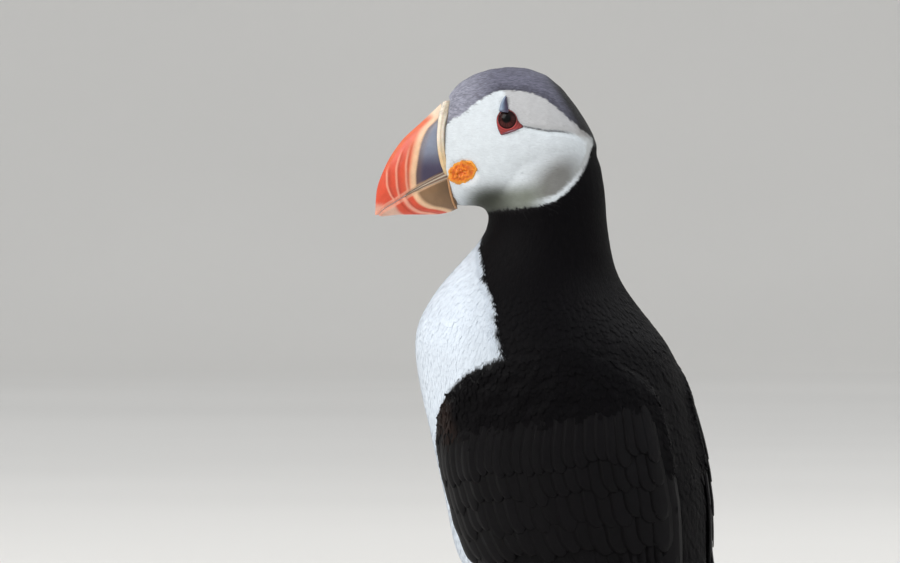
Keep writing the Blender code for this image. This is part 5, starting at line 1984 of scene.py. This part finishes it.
def build_lights():
    studio = settings("studio")
    area_light("key_light", 48.0, 42.0, 2.6, 1.5, studio.key, (1.0, 0.98, 0.95))
    area_light("fill_light", 165.0, 25.0, 3.0, 2.4, studio.fill, (0.95, 0.97, 1.0))
    area_light("rim_light", 250.0, 48.0, 3.0, 1.6, studio.fill * 1.3, (1.0, 1.0, 1.0))
    world = bpy.data.worlds.new("soft_sky")
    world.use_nodes = True
    background = world.node_tree.nodes["Background"]
    background.inputs["Color"].default_value = (0.80, 0.82, 0.85, 1)
    background.inputs["Strength"].default_value = 0.95
    bpy.context.scene.world = world
    # Plain display colours, so that each surface shows in the colour it is given.
    bpy.context.scene.view_settings.view_transform = "Standard"


# ================================================================ operators and panel

class PUFFIN_OT_skin(bpy.types.Operator):
    """Makes the one skin that stands for head, neck, trunk, wings, tail and thighs"""

    bl_idname = "puffin.skin"
    bl_label = "Skin"

    def execute(self, context):
        make_skin()
        return {"FINISHED"}


class PUFFIN_OT_head_feathers(bpy.types.Operator):
    """Covers the face and the crown with their finest feathers"""

    bl_idname = "puffin.head_feathers"
    bl_label = "Face and crown"

    def execute(self, context):
        grow_face()
        return {"FINISHED"}


class PUFFIN_OT_body_feathers(bpy.types.Operator):
    """Covers neck, underside, back and thighs"""

    bl_idname = "puffin.body_feathers"
    bl_label = "Body feathers"

    def execute(self, context):
        grow_neck()
        grow_edge()
        grow_underside()
        grow_back()
        grow_thighs()
        return {"FINISHED"}


class PUFFIN_OT_wings(bpy.types.Operator):
    """Lays the flight feathers and coverts of both wings"""

    bl_idname = "puffin.wings"
    bl_label = "Wings"

    def execute(self, context):
        lay_wings()
        grow_coverts()
        return {"FINISHED"}


class PUFFIN_OT_tail(bpy.types.Operator):
    """Lays the sixteen tail feathers"""

    bl_idname = "puffin.tail"
    bl_label = "Tail"

    def execute(self, context):
        lay_tail()
        return {"FINISHED"}


class PUFFIN_OT_bill(bpy.types.Operator):
    """Builds both mandibles, the skin round the bill's base and the gape skin"""

    bl_idname = "puffin.bill"
    bl_label = "Bill"

    def execute(self, context):
        build_bill()
        build_gapes()
        return {"FINISHED"}


class PUFFIN_OT_eyes(bpy.types.Operator):
    """Builds the eyes, their bare red rings and the horny plates"""

    bl_idname = "puffin.eyes"
    bl_label = "Eyes"

    def execute(self, context):
        build_eyes()
        return {"FINISHED"}


class PUFFIN_OT_legs(bpy.types.Operator):
    """Builds the shanks, webbed feet and claws"""

    bl_idname = "puffin.legs"
    bl_label = "Legs and feet"

    def execute(self, context):
        build_legs()
        return {"FINISHED"}


class PUFFIN_OT_studio(bpy.types.Operator):
    """Sets up the floor, the lights and the camera"""

    bl_idname = "puffin.studio"
    bl_label = "Studio"

    def execute(self, context):
        build_camera()
        build_floor()
        build_lights()
        return {"FINISHED"}


STEPS = (
    PUFFIN_OT_studio, PUFFIN_OT_skin, PUFFIN_OT_head_feathers, PUFFIN_OT_body_feathers, PUFFIN_OT_wings,
    PUFFIN_OT_tail, PUFFIN_OT_bill, PUFFIN_OT_eyes, PUFFIN_OT_legs,
)
SETTINGS = {
    "puffin_plumage": PuffinPlumage, "puffin_bill": PuffinBill, "puffin_eyes": PuffinEyes,
    "puffin_legs": PuffinLegs, "puffin_studio": PuffinStudio,
}


class PUFFIN_PT_panel(bpy.types.Panel):
    """Lists the pieces of the puffin and their settings"""

    bl_idname = "PUFFIN_PT_panel"
    bl_label = "Atlantic puffin"
    bl_space_type = "VIEW_3D"
    bl_region_type = "UI"
    bl_category = "Puffin"

    def draw(self, context):
        for step in STEPS:
            self.layout.operator(step.bl_idname)
        for name, kind in SETTINGS.items():
            box = self.layout.box()
            for setting in kind.__annotations__:
                box.prop(getattr(context.scene, name), setting)


def register():
    for kind in (*SETTINGS.values(), *STEPS, PUFFIN_PT_panel):
        bpy.utils.register_class(kind)
    for name, kind in SETTINGS.items():
        setattr(bpy.types.Scene, name, PointerProperty(type=kind))


def unregister():
    for name in SETTINGS:
        delattr(bpy.types.Scene, name)
    for kind in reversed((*SETTINGS.values(), *STEPS, PUFFIN_PT_panel)):
        bpy.utils.unregister_class(kind)


def main():
    register()
    for step in STEPS:
        family, name = step.bl_idname.split(".")
        getattr(getattr(bpy.ops, family), name)()


if __name__ == "__main__":
    main()
